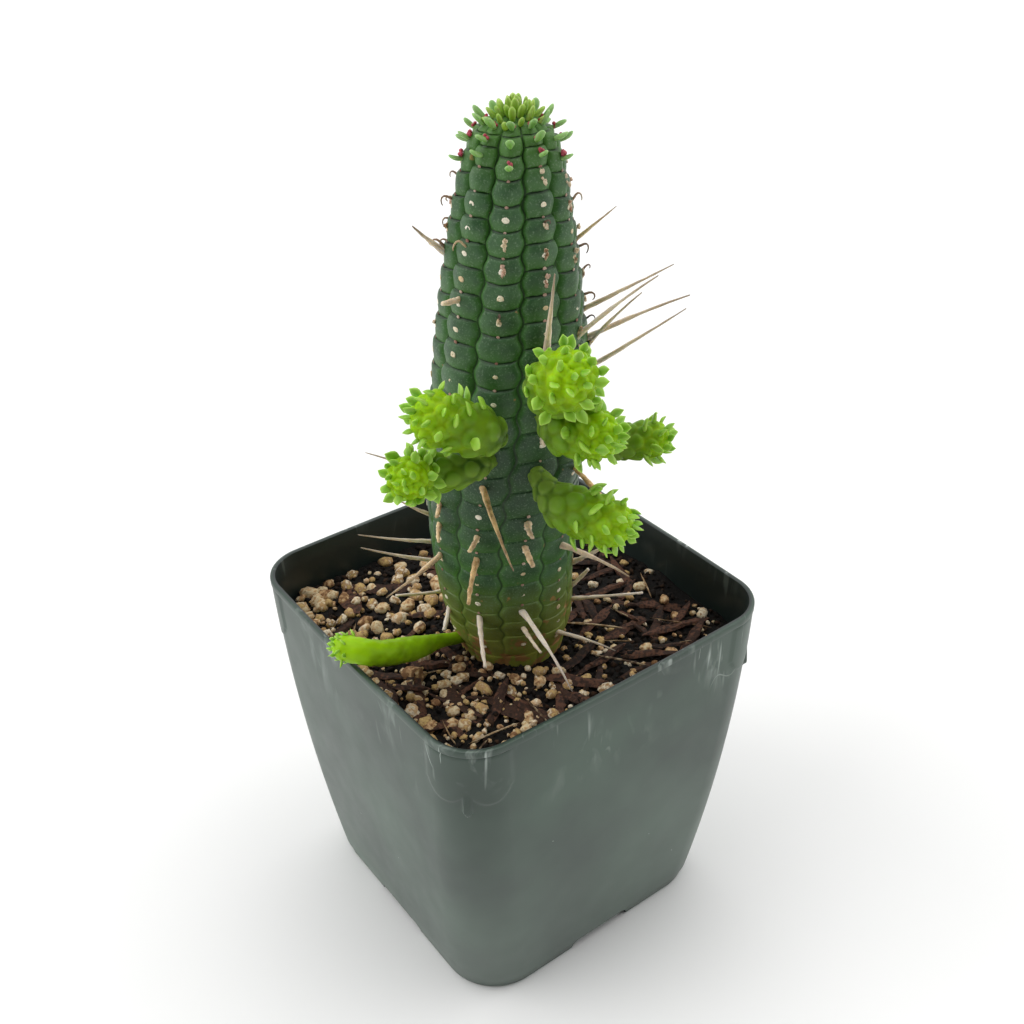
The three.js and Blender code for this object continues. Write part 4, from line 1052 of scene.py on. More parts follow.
def stem_surface_group():
    """A node group from rib and row to a place on the stem's skin, and the level direction out of it."""
    put, given = new_tree("stem_surface", {"Rib": 0.0, "Row": 0.0}, Position="Vector", Outward="Vector",
                          Line="Float", Face="Float", Beside="Float")
    rib, row, _ = given

    # Height: rows are out of step between ribs, less so at both ends of the stem
    half_turns = put("Math MULTIPLY", rib, math.pi)
    sine, cosine = put("Math SINE", half_turns), put("Math COSINE", half_turns)
    flat = put("Math POWER", put("Math ABSOLUTE", cosine), STEP_SHARPNESS)
    odd_rib = put("Math SUBTRACT", 1.0, put("Math MULTIPLY", flat, put("Math SIGN", cosine)))
    row_share = put("MapRange", row, From_Min=FIRST_ROW, From_Max=LAST_ROW)
    step = profile(put, STAGGER, row_share)
    level_row = put("Math MULTIPLY_ADD", step, odd_rib, row)
    level_share = put("MapRange", level_row, From_Min=FIRST_ROW, From_Max=LAST_ROW)
    height = profile(put, ROW_HEIGHT, level_share)
    climb = put("MapRange", height, From_Min=STEM_ROOT_END, From_Max=STEM_TOP)

    # Radius: the girth, less the furrow between ribs, less the groove between tubercles
    across = put("Math ABSOLUTE", sine)
    furrow = put("Math POWER", across, FURROW_SHARPNESS)
    fall = put("Math MULTIPLY_ADD", put("Math MULTIPLY", across, across), RIB_ROUNDNESS, furrow)
    depth = put("Math MULTIPLY", profile(put, FURROW, climb), fall)
    phase = put("Math FRACT", row)
    groove = put("Math SUBTRACT", 1.0, profile(put, FULLNESS, phase))
    shallow = put("Math MULTIPLY_ADD", furrow, -TUBERCLE_RELIEF, TUBERCLE_RELIEF)
    fade = profile(put, BOLDNESS, row_share)
    relief = put("Math MULTIPLY", groove, shallow, fade)
    radius = put("Math SUBTRACT", profile(put, GIRTH, climb), depth, relief)

    # Heading: ribs twist as they climb, and furrows swing from side to side
    above = put("Math SUBTRACT", height, SOIL_LEVEL)
    heading = put("Math MULTIPLY_ADD", rib, 2 * math.pi / RIB_COUNT, RIB_HEADING)
    heading = put("Math MULTIPLY_ADD", above, RIB_TWIST, heading)
    swing = put("Math MULTIPLY", put("Math SUBTRACT", level_row, GROOVE_PHASE + 0.5), 2 * math.pi)
    swing = put("Math MULTIPLY", put("Math COSINE", swing), step, 4 * FURROW_SWING)
    heading = put("Math MULTIPLY_ADD", swing, sine, heading)
    outward = put("VectorRotate", rotation_type="Z_AXIS", Vector=(1, 0, 0), Angle=heading)

    # Place: the leaning middle of the stem and the radius out of it, in metres
    lean = put("VectorMath SCALE", LEANING, Scale=profile(put, LEAN, climb))
    place = put("VectorMath ADD", lean, tuple(MIDDLE / MM + STEM_FOOT), put("CombineXYZ", Z=height),
                put("VectorMath SCALE", outward, Scale=radius))
    place = put("VectorMath SCALE", place, Scale=MM)

    # For the colours: painted shade as dark lines in the grooves between tubercles and in the bottom of
    # furrows, how far up its tubercle's face a place is, and how near it is to a furrow
    from_groove = put("Math SUBTRACT", phase, GROOVE_PHASE)
    groove_painted_shade = put("MapRange", put("Math ABSOLUTE", from_groove), From_Min=SHADE_LINE_HALF, From_Max=0.0)
    groove_painted_shade = put("Math MULTIPLY", groove_painted_shade, put("Math POWER", fade, 3.0))
    line = put("Math MAXIMUM", groove_painted_shade, put("Math POWER", across, SHADE_LINE_SHARPNESS))
    face = put("Math FRACT", put("Math SUBTRACT", row, GROOVE_PHASE))
    near_furrow = put("Math POWER", across, EDGE_SHARPNESS)
    return put("GroupOutput", place, outward, line, face, near_furrow).id_data


stem_surface = stem_surface_group()
print("nodes in the stem's rule:", len(stem_surface.nodes))

# %% [markdown]
# The skin is waxy and dark green, greyer on the crests where the wax is thick, fresher beside the furrows, and
# painted almost black in them and in the grooves between tubercles as painted shade. The youngest rows near
# the top are a lighter green, a band under the side shoots is painted dark as painted shade of the shoots,
# and near the soil the skin yellows and corky brown patches creep up it. Plant skin has an IOR near 1.42, and
# a little light passes below its surface.

# %% Stem skin
def waxy_stem_skin():
    """Dark green succulent skin. It reads the painted shade lines between tubercles and in the furrows,
    their faces and the furrows' sides, and paints shade in a band under the side shoots.
    """
    material, put, shader, place, line, face, beside = new_material(
        "waxy_stem_skin", "line", "face", "beside")
    height = put("SeparateXYZ", place).outputs["Z"]

    # Wax: a mottle some 4 mm across
    cloud = put("TexNoise", place, Scale=230.0, Detail=5.0, Roughness=0.6)
    wax = put("MapRange", cloud, From_Min=0.38, From_Max=0.66)
    fresh = put("MapRange", face, From_Min=0.55, From_Max=0.0, To_Max=0.6)
    # Painted shade of the side shoots: a dark band about 110 to 145 mm high
    above = put("MapRange", interpolation_type="SMOOTHSTEP", Value=height, From_Min=0.106, From_Max=0.122)
    below = put("MapRange", interpolation_type="SMOOTHSTEP", Value=height, From_Min=0.148, From_Max=0.132,
                To_Max=0.6)
    young = put("MapRange", height, From_Min=0.188, From_Max=0.2)
    yellowed = put("MapRange", height, From_Min=0.103, From_Max=0.078)
    # Dust and broken wax: pale specks a tenth of a millimetre wide
    dust = put("TexNoise", place, Scale=2600.0, Detail=2.0)
    dust = put("MapRange", dust, From_Min=0.55, From_Max=0.8, To_Max=0.5)
    grown = put("MapRange", height, From_Min=0.08, From_Max=0.1, To_Min=0.35, To_Max=0.85)
    # Cork: brown patches that thin out some 15 mm above the soil
    patches = put("TexNoise", place, Scale=330.0, Detail=6.0)
    reach = put("MapRange", height, From_Min=0.078, From_Max=0.1, To_Min=0.48, To_Max=0.7)
    cork = put("MapRange", put("Math SUBTRACT", patches, reach), From_Min=0.0, From_Max=0.05)
    skin = put("Mix", data_type="RGBA", Factor=wax, A=colour("2a4d2a"), B=colour("466942"))
    skin = layered(put, skin, [
        (fresh, "4a7a2e"),
        (put("Math MULTIPLY", beside, 0.6), "4f8a30"),
        (young, "4f7d2c"),
        (put("Math MULTIPLY", above, below), "12331a"),  # painted shade of the side shoots, in a band under them
        (yellowed, "98a040"),
        (dust, "87a080"),
        (put("Math MULTIPLY", line, grown), "0c240b"),  # painted shade: dark lines in grooves and furrows, fainter near the soil
        (cork, "a8824f"),
    ])

    pores = put("TexNoise", place, Scale=1500.0, Detail=3.0)
    feed(shader, Base_Color=skin, Roughness=put("MapRange", wax, To_Min=0.42, To_Max=0.58), IOR=1.42,
         Subsurface_Weight=0.06, Subsurface_Radius=(0.4, 1.0, 0.2), Subsurface_Scale=1.2 * MM,
         Normal=put("Bump", Strength=0.25, Distance=0.12 * MM, Height=pores))
    return material


stem_skin = waxy_stem_skin()
print("stem material:", stem_skin.name)

# %% [markdown]
# The body is a cylinder whose points the tree sends to the rule's surface. Points at even steps would round
# the narrow grooves off, so they are crowded towards furrows and grooves. A soft noise then swells the whole
# by a few tenths of a millimetre, because no rib of a real plant is quite regular.

# %% Body of the stem
SPOKES = RIB_COUNT * 20
STEPS_PER_ROW = 16
CROWDING = 0.7  # how much closer together points stand in furrows and grooves


def crowded(put, value, phase):
    """Shifts even steps so that they stand closer together at a phase of each whole number."""
    turn = put("Math MULTIPLY", put("Math SUBTRACT", value, phase), 2 * math.pi)
    return put("Math MULTIPLY_ADD", put("Math SINE", turn), -CROWDING / (2 * math.pi), value)


def drum(put, spokes, steps):
    """A closed cylinder one unit high: its mesh, the turn of each point and its height from the middle."""
    mesh = put("MeshCylinder", fill_type="NGON", Vertices=spokes, Side_Segments=steps, Radius=1.0, Depth=1.0)
    x, y, z = put("SeparateXYZ", put("InputPosition")).outputs
    return mesh, put("Math ARCTAN2", y, x), z


def noted(put, geometry, numbers, **settings):
    """The geometry with named attributes stored on its points."""
    for name, value in numbers.items():
        geometry = put("StoreNamedAttribute", geometry, Name=name, Value=value, **settings)
    return geometry


def stem_body_tree():
    """A cylinder whose points are sent to the stem's surface."""
    put, given = new_tree("stem_body", {"Spokes": 8, "Steps": 8, "Lumps": 0.0})
    mesh, turn, level = drum(put, given["Spokes"], given["Steps"])
    rib = crowded(put, put("Math MULTIPLY", turn, RIB_COUNT / (2 * math.pi)), 0.5)
    row = put("MapRange", level, From_Min=-0.5, From_Max=0.5, To_Min=FIRST_ROW, To_Max=LAST_ROW)
    surface = put("Group", node_tree=stem_surface, Rib=rib, Row=crowded(put, row, GROOVE_PHASE)).outputs
    # The line attribute holds the painted shade of the grooves and furrows
    mesh = noted(put, mesh, {"line": surface["Line"], "face": surface["Face"], "beside": surface["Beside"]})
    body = put("SetPosition", mesh, Position=surface["Position"])
    swell = put("Math SUBTRACT", put("TexNoise", Scale=160.0, Detail=3.0), 0.5)
    swell = put("Math MULTIPLY", swell, given["Lumps"])
    offset = put("VectorMath SCALE", put("InputNormal"), Scale=swell)
    body = put("SetPosition", body, Offset=offset)
    return finished(put, put("SetMaterial", body, Material=stem_skin))


run_tree("stem_body", stem_body_tree(), {
    "Spokes": SPOKES, "Steps": (LAST_ROW - FIRST_ROW) * STEPS_PER_ROW, "Lumps": 0.7 * MM})

# %% [markdown]
# ### What grows at each eye
#
# Each tubercle has an eye, where a leaf sat. On the youngest rows the leaf is still there, with a crimson bud
# in its axil. Lower down the bud has dried to a brown or pinkish cluster or a curled hook, and below that
# only a cream oval scar is left, with a small brown dot in the groove above it. One tree serves them all: it
# makes a point for each rib and row in a range, keeps a share of them, and turns each shape outwards.

# %% Small shapes of the stem
leaf_shapes, spoon_shapes, scar_shapes, bud_shapes, cluster_shapes, hook_shapes = map(
    new_collection, ("leaf_shapes", "spoon_shapes", "scar_shapes", "bud_shapes", "cluster_shapes",
                     "hook_shapes"))
# Each section: place, half width and half height; each bend: how far the tip curls up and aside
LEAF_OUTLINE = [(-0.12, 0.13, 0.14), (0.1, 0.17, 0.16), (0.36, 0.26, 0.17), (0.6, 0.31, 0.16),
                (0.82, 0.27, 0.12), (0.95, 0.16, 0.08), (1.01, 0.03, 0.02)]
SPOON_OUTLINE = [(-0.12, 0.18, 0.14), (0.12, 0.24, 0.16), (0.38, 0.37, 0.17), (0.58, 0.38, 0.14),
                 (0.78, 0.27, 0.1), (0.93, 0.13, 0.06), (1.05, 0.02, 0.01)]
LEAF_BENDS = [(0.1, 0), (0.2, 0.05), (0.02, -0.06), (0.28, 0.02)]
for variant, (curl, sideways) in enumerate(LEAF_BENDS):
    for kind, shapes, outline in (("leaf", leaf_shapes, LEAF_OUTLINE),
                                  ("spoon", spoon_shapes, SPOON_OUTLINE)):
        spindle(f"{kind}_{variant}", shapes, [
            (x, wide, high, sideways * x * x, curl * x * x) for x, wide, high in outline])
SCAR_SECTIONS = [(-0.7, 0.85, 0.7, 0, 0), (0.1, 1, 0.82, 0, 0), (0.42, 0.72, 0.6, 0, 0),
                 (0.3, 0.25, 0.2, 0, 0)]
for variant in range(3):
    spindle(f"scar_{variant}", scar_shapes, SCAR_SECTIONS, sides=10, rough=0.1, seed=variant + 3)

# A bud is four beads, and a dried cluster five knobs
for variant in range(3):
    draw = seeded(80 + variant)
    beads = []
    for bead in range(4):
        place = Matrix.Translation((0.25 + 0.5 * draw(), 1.3 * (draw() - 0.5), 1.1 * (draw() - 0.5)))
        beads.append((bead, place @ Matrix.Scale(mix(0.42, 0.62, draw()), 4)))
    lumps(f"bud_{variant}", bud_shapes, 1, 0.12, beads)
for variant in range(4):
    draw = seeded(90 + variant)
    knobs = []
    for knob in range(5):
        size = mix(0.3, 0.6, draw())
        place = Matrix.Translation((0.1 + 0.35 * draw(), 0.75 * (draw() - 0.5), 2.4 * (draw() - 0.5)))
        knobs.append((knob + 5 * variant, place @ Matrix.Diagonal((size, size * 0.8, size * 1.3, 1))))
    lumps(f"cluster_{variant}", cluster_shapes, 1, 0.9, knobs)
# A hook curls over, and each is as high as its share says and leans aside
HOOK = [(-0.1, 0), (0.2, 0.06), (0.45, 0.14), (0.7, 0.14), (0.88, 0.02), (0.95, -0.18), (0.9, -0.4),
        (0.78, -0.52)]
for variant, side in enumerate((0.15, -0.2, 0.05)):
    rise = mix(0.7, 1.3, variant / 2)
    thickness = [mix(0.13, 0.04, step / 7) for step in range(8)]
    spindle(f"hook_{variant}", hook_shapes, [
        (x, thick, thick, side * x * x, z * rise) for thick, (x, z) in zip(thickness, HOOK)], sides=6)

# %% The eye tree
EYE_LENGTHS = ("Low Size", "High Size", "Lift")
EYE_ANGLES = ("Low Rise", "High Rise", "Shake")


def rising(put, level, rise):
    """A direction that rises by an angle above a level one."""
    flat = put("VectorMath SCALE", level, Scale=put("Math COSINE", rise))
    return put("VectorMath ADD", flat, put("CombineXYZ", Z=put("Math SINE", rise)))


def aimed(put, along, face):
    """A turn that points a shape's X axis along a direction and its Z axis as near as it can to a face."""
    turn = put("AlignRotationToVector", axis="X", Vector=along)
    return put("AlignRotationToVector", axis="Z", pivot_axis="X", Rotation=turn, Vector=face)


def at_eyes(name, shapes, material, **values):
    """A piece made of shapes at the stem's eyes. Sizes are in millimetres and angles in degrees."""
    put, given = new_tree(name + "_tree", {
        "First Row": 0, "Last Row": 0, "Phase": 0.0, "Share": 1.0, "Low Size": 0.0, "High Size": 0.0,
        "Uneven": 0.2, "Low Rise": 0.0, "High Rise": 0.0, "Shake": 0.0, "Lift": 0.0, "Flat": 1.0, "Seed": 1})
    rows = put("Math ADD", put("Math SUBTRACT", given["Last Row"], given["First Row"]), 1.0)
    points = put("Points", put("Math MULTIPLY", rows, RIB_COUNT))
    index = put("InputIndex")
    rib = put("Math FLOOR", put("Math DIVIDE", index, rows))
    row = put("Math ADD", put("Math MODULO", index, rows), given["First Row"])
    climb = put("MapRange", row, From_Min=given["First Row"], From_Max=given["Last Row"])
    eye = put("Math ADD", row, given["Phase"])
    surface = put("Group", node_tree=stem_surface, Rib=rib, Row=eye).outputs
    lift = put("VectorMath SCALE", surface["Outward"], Scale=given["Lift"])
    points = put("SetPosition", points, Position=surface["Position"], Offset=lift)

    # Direction: outwards, shaken a little round the stem, and rising
    rise_seed, side_seed, size_seed, keep_seed = (put("Math ADD", given["Seed"], n) for n in (3, 4, 5, 6))
    least = put("Math MULTIPLY", given["Shake"], -1.0)
    shakes = [put("RandomValue", Min=least, Max=given["Shake"], Seed=seed) for seed in (rise_seed, side_seed)]
    rise = put("Math ADD", put("Mix", climb, given["Low Rise"], given["High Rise"]), shakes[0])
    out = put("VectorRotate", rotation_type="Z_AXIS", Vector=surface["Outward"], Angle=shakes[1])
    turn = aimed(put, rising(put, out, rise), (0, 0, 1))

    uneven = put("RandomValue", Min=put("Math SUBTRACT", 1.0, given["Uneven"]), Max=1.0, Seed=size_seed)
    size = put("Math MULTIPLY", put("Mix", climb, given["Low Size"], given["High Size"]), uneven)
    sizes = put("CombineXYZ", put("Math MULTIPLY", size, given["Flat"]), size, size)
    keep = put("RandomValue", data_type="BOOLEAN", Probability=given["Share"], Seed=keep_seed)
    tree = finished(put, place_variants(put, points, shapes, given["Seed"], material,
                                        Selection=keep, Rotation=turn, Scale=sizes))
    return run_tree(name, tree, values, None, EYE_LENGTHS, EYE_ANGLES)


print("lengths and angles of an eye's shape:", EYE_LENGTHS, EYE_ANGLES)

# %% [markdown]
# Leaves are fleshy and let light through, so their material has a wide subsurface radius, and their margins
# and tips are thin and paler. Buds are waxy crimson. Scars are dry cream cork, and dried flowers and stalks
# are straw to grey, streaked along their length.

# %% Materials of the eyes
def fleshy(name, tints, depth):
    """Moist young plant tissue, paler where it is thin. Light passes some way below its surface."""
    material, put, shader, _, tint, edge, tipward = new_material(name, "tint", "edge", "tipward")
    old, young, thin = tints.split()
    flesh = paint(put("ValToRGB", tint), [(0, old), (1, young)])
    thinness = put("Math MULTIPLY", put("Math MAXIMUM", edge, put("Math POWER", tipward, 3.0)), 0.75)
    feed(shader, Base_Color=layered(put, flesh, [(thinness, thin)]), Roughness=0.42, IOR=1.42,
         Subsurface_Weight=0.3, Subsurface_Radius=(0.5, 1.0, 0.2), Subsurface_Scale=depth * MM)
    return material


leaf_flesh = fleshy("young_leaf_flesh", "5a9030 80b44c b0d090", 1.0)
crown_flesh = fleshy("crown_leaf_flesh", "6f9c12 98bc20 c0d67a", 1.0)
bud_wax = fleshy("crimson_bud_wax", "b03048 c85a6c d88a98", 0.5)
scar_cork = tinted_material("cream_scar_cork", "d6bd92 f0e6cc f9f1e0 e8d6b0", 0.75, 2200, 0.1, 0.15)
eye_cork = tinted_material("brown_eye_cork", "8d6252 b08e7c cdb7a4", 0.75, 2200, 0.1, 0.2)
dried_flower = tinted_material("dried_flower", "8c6a4c cdb795 e6d6ba a87f63 c9a894", 0.75, 1500, 0.2)
hook_dry = tinted_material("dried_flower_hook", "3a3330 8a6e55 c7ad88", 0.6, 1500, 0.1, 0.2)
print("materials so far:", len(bpy.data.materials))

# %% Leaves, buds, scars and dried flowers
at_eyes("stem_leaves", leaf_shapes, leaf_flesh, first_row=21, last_row=23, low_size=2.9, high_size=3.5,
        uneven=0.2, low_rise=12, high_rise=40, shake=9, lift=-0.1, seed=2)
at_eyes("flower_buds", bud_shapes, bud_wax, first_row=21, last_row=23, phase=0.26, share=0.75, low_size=0.95,
        high_size=0.75, uneven=0.3, seed=3)
at_eyes("leaf_scars", scar_shapes, scar_cork, first_row=1, last_row=19, share=0.93, low_size=0.75,
        high_size=0.8, uneven=0.35, lift=-0.02, flat=0.32, seed=4)
at_eyes("groove_dots", scar_shapes, eye_cork, first_row=3, last_row=20, phase=GROOVE_PHASE + 0.03, share=0.85,
        low_size=0.42, high_size=0.46, uneven=0.35, lift=0.22, flat=0.4, seed=5)
at_eyes("dried_clusters", cluster_shapes, dried_flower, first_row=14, last_row=20, phase=0.08, share=0.42,
        low_size=1.05, high_size=0.95, uneven=0.35, shake=30, seed=6)
at_eyes("dried_hooks", hook_shapes, hook_dry, first_row=13, last_row=19, phase=0.3, share=0.24, low_size=2.6,
        high_size=2.6, uneven=0.35, low_rise=10, high_rise=10, shake=24, seed=489)

# %% [markdown]
# The growing point carries a tuft of the youngest leaves. They follow the golden angle: each stands 137.5
# degrees on from the one before, a little further out and less upright.

# %% Crown of young leaves
GOLDEN_ANGLE = math.radians(137.50776)
CROWN_MIDDLE = MIDDLE + (STEM_FOOT + Vector(LEANING) * 2.85 + Vector((0, 0, STEM_TOP - 0.6))) * MM


def crown_tree():
    """A spiral of leaves round an upright axis, upright inside and splayed outside."""
    put, given = new_tree("crown", {
        "Leaves": 1, "Inner Radius": 0.0, "Outer Radius": 0.0, "Drop": 0.0, "Inner Rise": 1.0,
        "Outer Rise": 1.0, "Inner Length": 0.0, "Outer Length": 0.0, "Seed": 1})
    index = put("InputIndex")
    share = put("Math DIVIDE", index, given["Leaves"])
    radius, rise, length = (put("Mix", share, given["Inner " + label], given["Outer " + label])
                            for label in ("Radius", "Rise", "Length"))
    turn = put("Math MULTIPLY", index, GOLDEN_ANGLE)
    out = put("VectorRotate", rotation_type="Z_AXIS", Vector=(1, 0, 0), Angle=turn)
    sunk = put("Math MULTIPLY", share, share, given["Drop"], -1.0)
    place = put("VectorMath ADD", put("VectorMath SCALE", out, Scale=radius), tuple(CROWN_MIDDLE),
                put("CombineXYZ", Z=sunk))
    points = put("SetPosition", put("Points", given["Leaves"]), Position=place)
    turned = aimed(put, rising(put, out, rise), put("VectorMath SCALE", out, Scale=-1.0))
    size = put("Math MULTIPLY", length, put("RandomValue", Min=0.85, Max=1.1, Seed=given["Seed"]))
    sizes = put("CombineXYZ", size, put("Math MULTIPLY", size, 0.7), size)
    return finished(put, place_variants(
        put, points, leaf_shapes, given["Seed"], crown_flesh, Rotation=turned, Scale=sizes))


run_tree("crown_leaves", crown_tree(), {
    "Leaves": 34, "Inner Radius": 0.2, "Outer Radius": 4.4, "Drop": 1.9, "Inner Rise": 78, "Outer Rise": 30,
    "Inner Length": 3.6, "Outer Length": 3.2, "Seed": 3,
}, None, ("Inner Radius", "Outer Radius", "Drop", "Inner Length", "Outer Length"),
         ("Inner Rise", "Outer Rise"))

# %% [markdown]
# ### Dried flower stalks
#
# The long spikes are flower stalks that dried on the plant. Each is listed by the rib and row that it grows
# from, its length, how far it rises above the horizontal and how far it swings round from straight out. The
# places are the frame's own. The girth, the kind of tip and the bleaching follow the photograph. The tree
# reads all of them from attributes of loose points.

# %% Places of the stalks
STALK_LABELS = ("rib", "row", "length", "rise", "swing", "girth", "blunt", "bleach")
# Rib, row, length in mm, rise and swing in degrees; then girth as a share, 1 for a blunt tip and 0 for a
# point, and how far it is bleached from straw to grey
STALKS = [
    (2, 13.9, 24, 43, -8, 0.9, 0, 0.95), (3, 13.7, 24, 34, -40, 0.95, 0, 0.9),
    (3, 12.5, 26, 31, -34, 1.0, 0, 0.9), (3, 11.4, 26, 39, -30, 0.95, 0, 1.0),
    (3, 12.3, 20, 48, -50, 0.8, 0, 0.95), (3, 16.6, 13, 42, -50, 0.75, 0, 0.6),
    (8, 17.1, 10, 43, 32, 1.1, 0, 0.9), (1, 13.2, 20, 73, -10, 1.25, 0, 0.75),
    (9, 15.2, 5, 10, 8, 1.0, 1, 0.6), (1, 10.1, 8, 66, -24, 1.0, 1, 0.75),
    (2, 9.2, 11, -8, -28, 0.9, 1, 0.1), (0, 9.1, 22, -19, 33, 1.15, 0, 0.1),
    (9, 7.5, 5, -5, 48, 0.8, 1, 0.3), (9, 6.6, 5.5, -12, 54, 0.8, 1, 0.3),
    (0, 7.2, 5.5, -3, 1, 0.85, 1, 0.3), (1, 7.2, 5, -4, -8, 1.05, 1, 0.45),
    (1, 6.2, 6, -10, -2, 1.05, 1, 0.3), (0, 6.2, 13, -12, 12, 0.9, 1, 0.1),
    (9, 5.2, 19, -1, 20, 0.95, 0, 0.35), (8, 5.2, 20, 25, 34, 0.85, 0, 0.9),
    (8, 4.2, 20, 28, 30, 0.9, 0, 0.9), (8, 6.5, 12, 41, 34, 0.8, 0, 0.8),
    (8, 8.4, 18, 34, 38, 0.7, 0, 0.8), (8, 2.2, 13, 17, 37, 0.7, 1, 0.9),
    (9, 2.2, 7, -9, 50, 0.85, 1, 1.0), (0, 3.2, 14, -15, 28, 0.85, 1, 0.9),
    (1, 3.1, 25, -10, 10, 0.95, 0, 1.0), (1, 2, 9, -5, 12, 0.7, 1, 0.7),
    (2, 6.1, 19, 1, -6, 1.05, 0, 0.65), (3, 3.7, 9, 39, -21, 0.9, 1, 0.8),
    (3, 2.4, 6, 52, -1, 0.8, 1, 0.8), (3, 1.5, 18, 18, -15, 0.7, 1, 0.9),
    (2, 1.2, 16, 6, 5, 0.8, 0, 0.9),
]
BACK_STALK_COUNT = 12
BACK_RIBS = (5, 6)


def back_stalks():
    """More stalks on the ribs that face away, drawn as the frame draws them."""
    draw = seeded(88)
    return [
        (BACK_RIBS[i % 2], math.floor(3 + 13 * draw() + 0.5) + 0.15, 5 + 17 * draw() ** 1.5,
         -12 + 50 * draw(), 50 * (draw() - 0.5), 1, i % 2, i / BACK_STALK_COUNT)
        for i in range(BACK_STALK_COUNT)
    ]


all_stalks = STALKS + back_stalks()
print("stalks:", len(all_stalks))

# %% [markdown]
# A stalk is a tapered spindle of twelve uneven sections, slightly bent. Young ones are straw with brown
# streaks along them, and the sun bleaches old ones to grey. Two shapes end in a point and two are broken off.

# %% Shape and finish of a stalk
STALK_RADIUS = 0.82
STALK_ASPECT = 22  # length of a shape in radii, before the tree scales it
# Each variant: how far it bends aside and up, and the girth of its tip. Two are pointed and two blunt
STALK_KINDS = [(0.03, 0.01, 0.14), (-0.035, 0.015, 0.14), (0.01, -0.01, 0.6), (-0.014, 0.006, 0.6)]
stalk_shapes = new_collection("stalk_shapes")
for variant, (bend, droop, tip) in enumerate(STALK_KINDS):
    draw = seeded(70 + variant)
    sections = []
    for x in np.linspace(-0.05, 0.985, 12):
        thick = mix(1, tip, max(x, 0) ** 0.9) * mix(0.86, 1.1, draw())
        sections.append((x * STALK_ASPECT, thick, 0.85 * thick, 4 * bend * x * (1 - x) * STALK_ASPECT,
                         4 * droop * x * (1 - x) * STALK_ASPECT))
    # A broken stub has lost its dark tip, so only a pointed one notes it
    spindle(f"stalk_{variant}", stalk_shapes, sections, sides=7, rough=0.2, seed=variant, tip_noted=tip < 0.5)


def streaked_straw():
    """Dry stalk: straw with brown streaks along it, bleached grey on some, with a dark tip."""
    material, put, shader, place, tint, tipward = new_material("dried_flower_stalk", "tint", "tipward")
    streak = put("TexNoise", place, Scale=420.0, Detail=5.0, Roughness=0.7)
    straw = paint(put("ValToRGB", streak), [(0.38, "94703f"), (0.58, "ecc48a")])
    grey = put("Mix", data_type="RGBA", Factor=streak, A=colour("d2c0b0"), B=colour("fbf0e4"))
    straw = put("Mix", data_type="RGBA", Factor=put("Math MULTIPLY", tint, 0.9), A=straw, B=grey)
    tip = put("MapRange", tipward, From_Min=0.45, From_Max=1.0, To_Max=0.85)
    # The papery stalk is hollow and thin, so light from behind shows through
    feed(shader, Base_Color=layered(put, straw, [(tip, "4c4038")]), Roughness=0.65, Subsurface_Weight=0.5,
         Subsurface_Radius=(1.0, 0.85, 0.6), Subsurface_Scale=1.5 * MM,
         Normal=put("Bump", Strength=0.5, Distance=0.1 * MM, Height=streak))
    return material


stalk_straw = streaked_straw()
print("stalk material:", stalk_straw.name)

# %% Stalks
def stalk_tree():
    """Places a tapered stalk on each point, as the point's own numbers say."""
    put, given = new_tree("stalks", {"Points": "geometry", "Radius": 0.0})
    rib, row, length, rise, swing, girth, blunt, bleach = named_numbers(put, STALK_LABELS)
    surface = put("Group", node_tree=stem_surface, Rib=rib, Row=row).outputs
    points = put("SetPosition", given["Points"], Position=surface["Position"])
    out = put("VectorRotate", rotation_type="Z_AXIS", Vector=surface["Outward"],
              Angle=put("Math RADIANS", swing))
    along = rising(put, out, put("Math RADIANS", rise))
    turn = put("AlignRotationToVector", axis="X", Vector=along)
    radius = put("Math MULTIPLY", given["Radius"], girth)
    sizes = put("CombineXYZ", put("Math MULTIPLY", length, MM / STALK_ASPECT), radius, radius)
    odd = put("Math MODULO", put("InputIndex"), 2.0)
    which = put("Math MULTIPLY_ADD", blunt, 2.0, odd)
    return finished(put, place_variants(
        put, points, stalk_shapes, 1, stalk_straw, which, bleach, Rotation=turn, Scale=sizes))


stalk_points = new_mesh(
    "stalk_points", [(0, 0, 0)] * len(all_stalks), columns=columns_of(all_stalks, STALK_LABELS))
run_tree("dried_stalks", stalk_tree(), {"Radius": STALK_RADIUS * MM}, stalk_points)

# %% [markdown]
# ## The side shoots
#
# A side shoot is a short fat branch with a round tip. Its tubercles are not in ribs: they follow the golden
# angle, as the scales of a pine cone do. The surface of a shoot is again a rule in a node group. It takes a
# curve, a place along it and a turn round it, and gives a place on the skin.

# %% Rule of a shoot
def round_tip(put, curve, girth):
    """The share of a curve that a branch's round tip takes up, and the share before the tip."""
    tip = put("Math DIVIDE", girth, put("CurveLength", curve))
    return tip, put("Math SUBTRACT", 1.0, tip)


